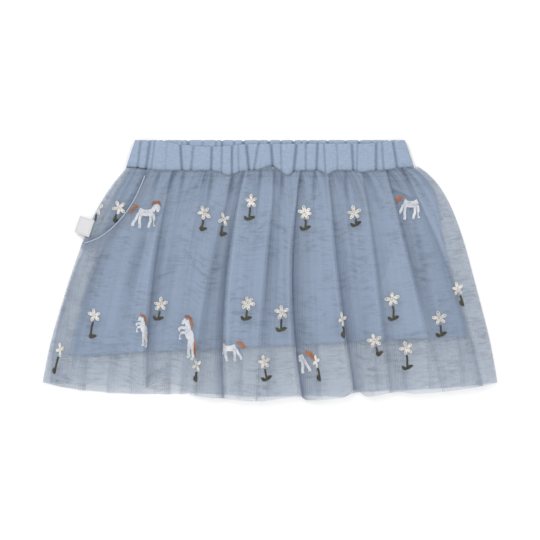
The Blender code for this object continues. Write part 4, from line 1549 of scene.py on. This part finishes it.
@dataclass
class Embroidery:
    """Flowers and horses stitched on the net, each thread colour a mesh of its own strands."""

    form: Form
    skirt: NetSkirt
    pocket: Pocket
    cream: bpy.types.Material
    olive: bpy.types.Material
    white: bpy.types.Material
    ginger: bpy.types.Material
    seed: int = 5
    lift: float = 0.35
    thread: float = 0.5
    petal_long: float = 6.4
    petal_wide: float = 1.5
    stem_half: float = 0.6
    stem_thread: float = 0.55
    mouth_clear: float = 1.4
    side_clear: float = 1.5
    fold_clear: float = 0.8
    row_gap: float = 0.85
    step: float = 0.6
    works: dict[str, ThreadWork] = field(default_factory=dict)

    def __post_init__(self) -> None:
        """Starts a mesh for each thread."""
        self.draw = random.Random(self.seed)
        self.works = {
            "petals": ThreadWork("flower_petals", self.cream),
            "greens": ThreadWork("flower_stems", self.olive),
            "coats": ThreadWork("horse_coats", self.white),
            "hair": ThreadWork("horse_hair", self.ginger),
        }

    def height(self, x: Array, y: Array) -> Array:
        """Height of the net that the stitches lie on: the front, or the facing in the mouth."""
        return np.where(self.form.in_mouth(x, y), self.pocket.facing_z(x, y), self.skirt.front_z(x, y))

    def visible(self, motif: Union[Flower, Horse], x: Array, y: Array) -> Array:
        """Where a motif's stitches aren't hidden by a fold or by the pocket's edge."""
        form = self.form
        same_layer = form.in_mouth(x, y) == form.in_mouth(np.array([motif.x]), np.array([motif.y]))[0]
        shown = same_layer & (np.abs(form.from_mouth(x, y)) > self.mouth_clear)
        shown &= form.from_side(x, y) > self.side_clear
        for number, side in motif.hidden:
            shown &= (x - FRONT_FOLDS[number].place(y)) * side.value < -self.fold_clear
        return shown

    def stitch(
        self, work: str, motif: Union[Flower, Horse], x: Array, y: Array, radius: float, up: float = 0.0
    ) -> None:
        """Lays a strand on the net along a line, in runs where it isn't hidden.

        Args:
            work: the thread.
            motif: the motif that the strand belongs to.
            x: the line's x.
            y: the line's y.
            radius: the strand's radius.
            up: height over the other strands.
        """
        shown = self.visible(motif, x, y)
        z = self.height(x, y) + self.lift + up
        start = None
        for k in range(len(x) + 1):
            on = k < len(x) and shown[k]
            if on and start is None:
                start = k
            if not on and start is not None:
                if k - start >= 2:
                    self.works[work].strand(x[start:k], y[start:k], z[start:k], radius)
                start = None

    def petal(self, flower: Flower, turn: float, size: float) -> None:
        """A chain-stitched petal: a loop of thread with two short stitches inside it."""
        t = np.linspace(0.0, 2.0 * np.pi, 15)
        along = size * self.petal_long * (0.10 + 0.45 * (1.0 - np.cos(t)))
        wide = size * self.petal_wide * np.sin(t) * (0.55 + 0.45 * (1.0 - np.cos(t)) / 2.0)
        for scale, lift in ((1.0, 0.25), (0.5, 0.0)):
            mid = 0.55 * size * self.petal_long
            a = mid + (along - mid) * scale
            b = wide * scale * scale
            x = flower.x + flower.narrow * (a * math.cos(turn) - b * math.sin(turn))
            y = flower.y + a * math.sin(turn) + b * math.cos(turn)
            self.stitch("petals", flower, x, y, self.thread, lift)

    def chain(self, motif: Flower, points: Sequence[tuple[float, float]], radius: float) -> None:
        """A twisted chain stitch along a line: two strands that cross and part."""
        spots = np.asarray(points, dtype=float)
        runs = np.hypot(*np.diff(spots, axis=0).T)
        far = np.concatenate([[0.0], np.cumsum(runs)])
        at = np.arange(0.0, far[-1], 0.4)
        x, y = np.interp(at, far, spots[:, 0]), np.interp(at, far, spots[:, 1])
        run_x, run_y = np.gradient(x), np.gradient(y)
        length = np.hypot(run_x, run_y)
        for phase in (0.0, math.pi):
            off = self.stem_half * np.sin(at * math.pi / 1.6 + phase)
            self.stitch("greens", motif, x - run_y / length * off, y + run_x / length * off, radius)

    def leaf(self, flower: Flower, turn: float, long: float, wide: float) -> None:
        """A leaf at the foot of the stem, filled with rows of thread.

        Args:
            flower: the flower that it belongs to.
            turn: the way it points, in radians from +X.
            long: its length.
            wide: its half width.
        """
        t = np.linspace(0.0, 1.0, 9)
        along = long * t
        for row in (-1.0, -0.45, 0.0, 0.45, 1.0):
            bow = row * wide * np.sin(np.pi * t) ** 0.8 + 0.12 * long * np.sin(np.pi * t)
            x = flower.foot_x + along * math.cos(turn) - bow * math.sin(turn)
            y = flower.foot_y + along * math.sin(turn) + bow * math.cos(turn)
            self.stitch("greens", flower, x, y, 0.5, 0.1 * (row == 0.0))

    def flower(self, flower: Flower) -> None:
        """Stitches a flower: its petals, the stem and its leaves."""
        first = self.draw.uniform(0.0, 0.5) + math.pi / 2.0
        for k in range(flower.petals):
            turn = first + 2.0 * math.pi * k / flower.petals + self.draw.uniform(-0.14, 0.14)
            self.petal(flower, turn, self.draw.uniform(0.88, 1.08))
        lean = 0.8 * self.draw.uniform(-1.0, 1.0)
        middle = ((flower.x + flower.foot_x) / 2.0 + lean, (flower.y + flower.foot_y) / 2.0)
        share = self.petal_long / math.hypot(flower.x - flower.foot_x, flower.y - flower.foot_y)
        start = (mix(flower.x, flower.foot_x, share), mix(flower.y, flower.foot_y, share))
        self.chain(flower, (start, middle, (flower.foot_x, flower.foot_y)), self.stem_thread)
        upright = math.atan2(flower.y - flower.foot_y, flower.x - flower.foot_x)
        if flower.leaves in (Leaves.PAIR, Leaves.RIGHT):
            self.leaf(flower, upright - 1.0, 6.2, 1.2)
        if flower.leaves is Leaves.PAIR:
            self.leaf(flower, upright + 1.0, 5.8, 1.2)
        if flower.leaves is Leaves.SINGLE:
            self.leaf(flower, upright, 6.6, 1.5)
        if flower.leaves is Leaves.RIGHT:
            self.leaf(flower, upright - 0.1, 5.0, 1.0)

    def limb(self, work: str, horse: Horse, limb: Limb) -> None:
        """Fills a stroke with rows of stitches that run along it.

        Args:
            work: the thread.
            horse: the horse that it belongs to.
            limb: the stroke.
        """
        spots = np.asarray(limb.line, dtype=float)
        runs = np.hypot(*np.diff(spots, axis=0).T)
        far = np.concatenate([[0.0], np.cumsum(runs)])
        at = np.arange(0.0, far[-1] + 0.01, self.step)
        line_x = Profile(far, spots[:, 0])(at)
        line_y = Profile(far, spots[:, 1])(at)
        half = Profile(far, limb.widths)(at)
        run_x, run_y = np.gradient(line_x), np.gradient(line_y)
        length = np.hypot(run_x, run_y)
        rows = int(max(limb.widths) / self.row_gap)
        for row in range(-rows, rows + 1):
            off = row * self.row_gap
            keep = half >= abs(off)
            if keep.sum() < 2:
                continue
            along = at[keep]
            x = (line_x - run_y / length * off)[keep]
            y = (line_y + run_x / length * off)[keep]
            gaps = np.where(np.diff(along) > 1.5 * self.step)[0]
            for run in np.split(np.arange(len(along)), gaps + 1):
                if len(run) < 2:
                    continue
                px = horse.x + horse.size * horse.narrow * horse.facing * x[run]
                py = horse.y + horse.size * y[run]
                self.stitch(work, horse, px, py, self.thread, 0.12 * self.draw.random())

    def horse(self, horse: Horse) -> None:
        """Stitches a horse: its coat, then its mane and tail."""
        standing = horse.pose is Pose.STANDING
        for limb in STANDING_COAT if standing else REARING_COAT:
            self.limb("coats", horse, limb)
        for limb in STANDING_HAIR if standing else REARING_HAIR:
            self.limb("hair", horse, limb)

    def build(self) -> list[bpy.types.Object]:
        """Stitches every motif.

        Returns:
            The pieces, one for each thread.
        """
        for row in FLOWERS:
            self.flower(row)
        for row in HORSES:
            self.horse(row)
        pieces = [work.make() for work in self.works.values()]
        for piece in pieces:
            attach(piece, "root")
        return pieces


@dataclass
class Studio:
    """Floor, lights and the camera straight above the skirt."""

    frame_wide: float = 0.5
    lens: float = 108.0
    sensor: float = 36.0
    centre_y: float = 0.00046
    surface_z: float = 0.008
    floor_size: float = 6.0
    floor_drop: float = 0.0002

    def camera(self) -> None:
        """Adds the camera, which looks straight down."""
        data = bpy.data.cameras.new("camera")
        data.lens = self.lens
        data.sensor_width = self.sensor
        away = self.frame_wide * self.lens / self.sensor
        made = bpy.data.objects.new("camera", data)
        made.location = (0.0, self.centre_y, away + self.surface_z)
        bpy.context.scene.collection.objects.link(made)
        bpy.context.scene.camera = made

    def floor(self) -> None:
        """Adds the pale floor."""
        mesh = bpy.data.meshes.new("floor")
        work = bmesh.new()
        bmesh.ops.create_grid(work, x_segments=1, y_segments=1, size=self.floor_size / 2.0)
        work.to_mesh(mesh)
        work.free()
        made = bpy.data.objects.new("floor", mesh)
        made.location.z = -self.floor_drop
        paint = Paint("floor_white")
        paint.set("Base Color", (0.93, 0.93, 0.93))
        paint.set("Roughness", 0.9)
        mesh.materials.append(paint.material)
        bpy.context.scene.collection.objects.link(made)

    def lamp(self, name: str, place: tuple[float, float, float], size: float, power: float) -> None:
        """Adds a soft square light that faces the skirt.

        Args:
            name: the light's name.
            place: where it hangs, in metres.
            size: its side.
            power: its power in watts.
        """
        data = bpy.data.lights.new(name, "AREA")
        data.size = size
        data.energy = power
        made = bpy.data.objects.new(name, data)
        made.location = place
        away = math.hypot(place[0], place[1])
        turn = math.atan2(place[1], place[0]) + math.pi / 2.0
        made.rotation_euler = (math.atan2(away, place[2]), 0.0, turn)
        bpy.context.scene.collection.objects.link(made)

    def build(self) -> None:
        """Sets up the whole studio."""
        self.camera()
        self.floor()
        self.lamp("key_light", (-0.9, 1.2, 2.2), 1.6, 34.0)
        self.lamp("fill_light", (1.4, -0.6, 2.0), 2.0, 10.0)
        world = bpy.data.worlds.new("studio")
        world.use_nodes = True
        world.node_tree.nodes["Background"].inputs["Color"].default_value = (1.0, 1.0, 1.0, 1.0)
        world.node_tree.nodes["Background"].inputs["Strength"].default_value = 0.75
        bpy.context.scene.world = world
        bpy.context.scene.view_settings.view_transform = "Standard"


def report(piece: bpy.types.Object) -> None:
    """Logs a piece's size in faces."""
    LOG.info("%s has %d faces", piece.name, len(piece.data.polygons))


def main() -> None:
    """Builds the studio and every piece of the skirt."""
    logging.basicConfig(level=logging.INFO, format="%(relativeCreated)d ms: %(message)s")
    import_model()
    Studio().build()
    form = Form()
    net = NetFinish("net").make()
    # Lining colour, and the dark colour of its painted fold shadows
    lining_colours = (0.275, 0.355, 0.50), (0.035, 0.062, 0.135)
    lining_cloth = PlainFinish("lining_cloth", *lining_colours, 0.8, 0.0006, 0.05, 0.0001).make()
    # Band colour, and the dark colour of its painted shade in creases and along the seam
    band_colours = (0.275, 0.345, 0.455), (0.06, 0.09, 0.15)
    band_cloth = PlainFinish("band_cloth", *band_colours, 0.84, 0.0012, 0.35).make()
    tape = PlainFinish("label_tape", (0.60, 0.60, 0.62), (0.22, 0.22, 0.24), 0.7, 0.0005, 0.05, 0.0001).make()
    edge = PlainFinish("edge_cloth", (0.36, 0.43, 0.53), (0.16, 0.21, 0.29), 0.8, 0.0005, 0.08, 0.0001).make()

    lining = Lining(form)
    lining_back = lining.panel("lining_cloth_back", Layer.BACK, "lining_back", lining_cloth)
    lining_front = lining.panel("lining_cloth_front", Layer.FRONT, "lining_front", lining_cloth)
    skirt = NetSkirt(form)
    back = skirt.back(net)
    front = skirt.front(net)
    pocket = Pocket(form, skirt)
    facing = pocket.facing(net)
    binding = pocket.binding(edge)
    band = Waistband(form)
    band_back = band.panel("band_cloth_back", Layer.BACK, "waistband_back", band_cloth)
    band_front = band.panel("band_cloth_front", Layer.FRONT, "waistband_front", band_cloth)
    label = Label(form).build(tape)
    cream = ThreadFinish("cream_thread", (0.80, 0.775, 0.72), (0.50, 0.48, 0.46)).make()
    olive = ThreadFinish("olive_thread", (0.050, 0.048, 0.024), (0.018, 0.018, 0.010)).make()
    white = ThreadFinish("white_thread", (0.72, 0.73, 0.76), (0.46, 0.50, 0.56)).make()
    ginger = ThreadFinish("ginger_thread", (0.42, 0.175, 0.09), (0.24, 0.09, 0.045)).make()
    stitches = Embroidery(form, skirt, pocket, cream, olive, white, ginger).build()

    panels = (lining_back, lining_front, back, front, facing, binding, band_back, band_front, label)
    for piece in (*panels, *stitches):
        report(piece)


if __name__ == "__main__":
    main()
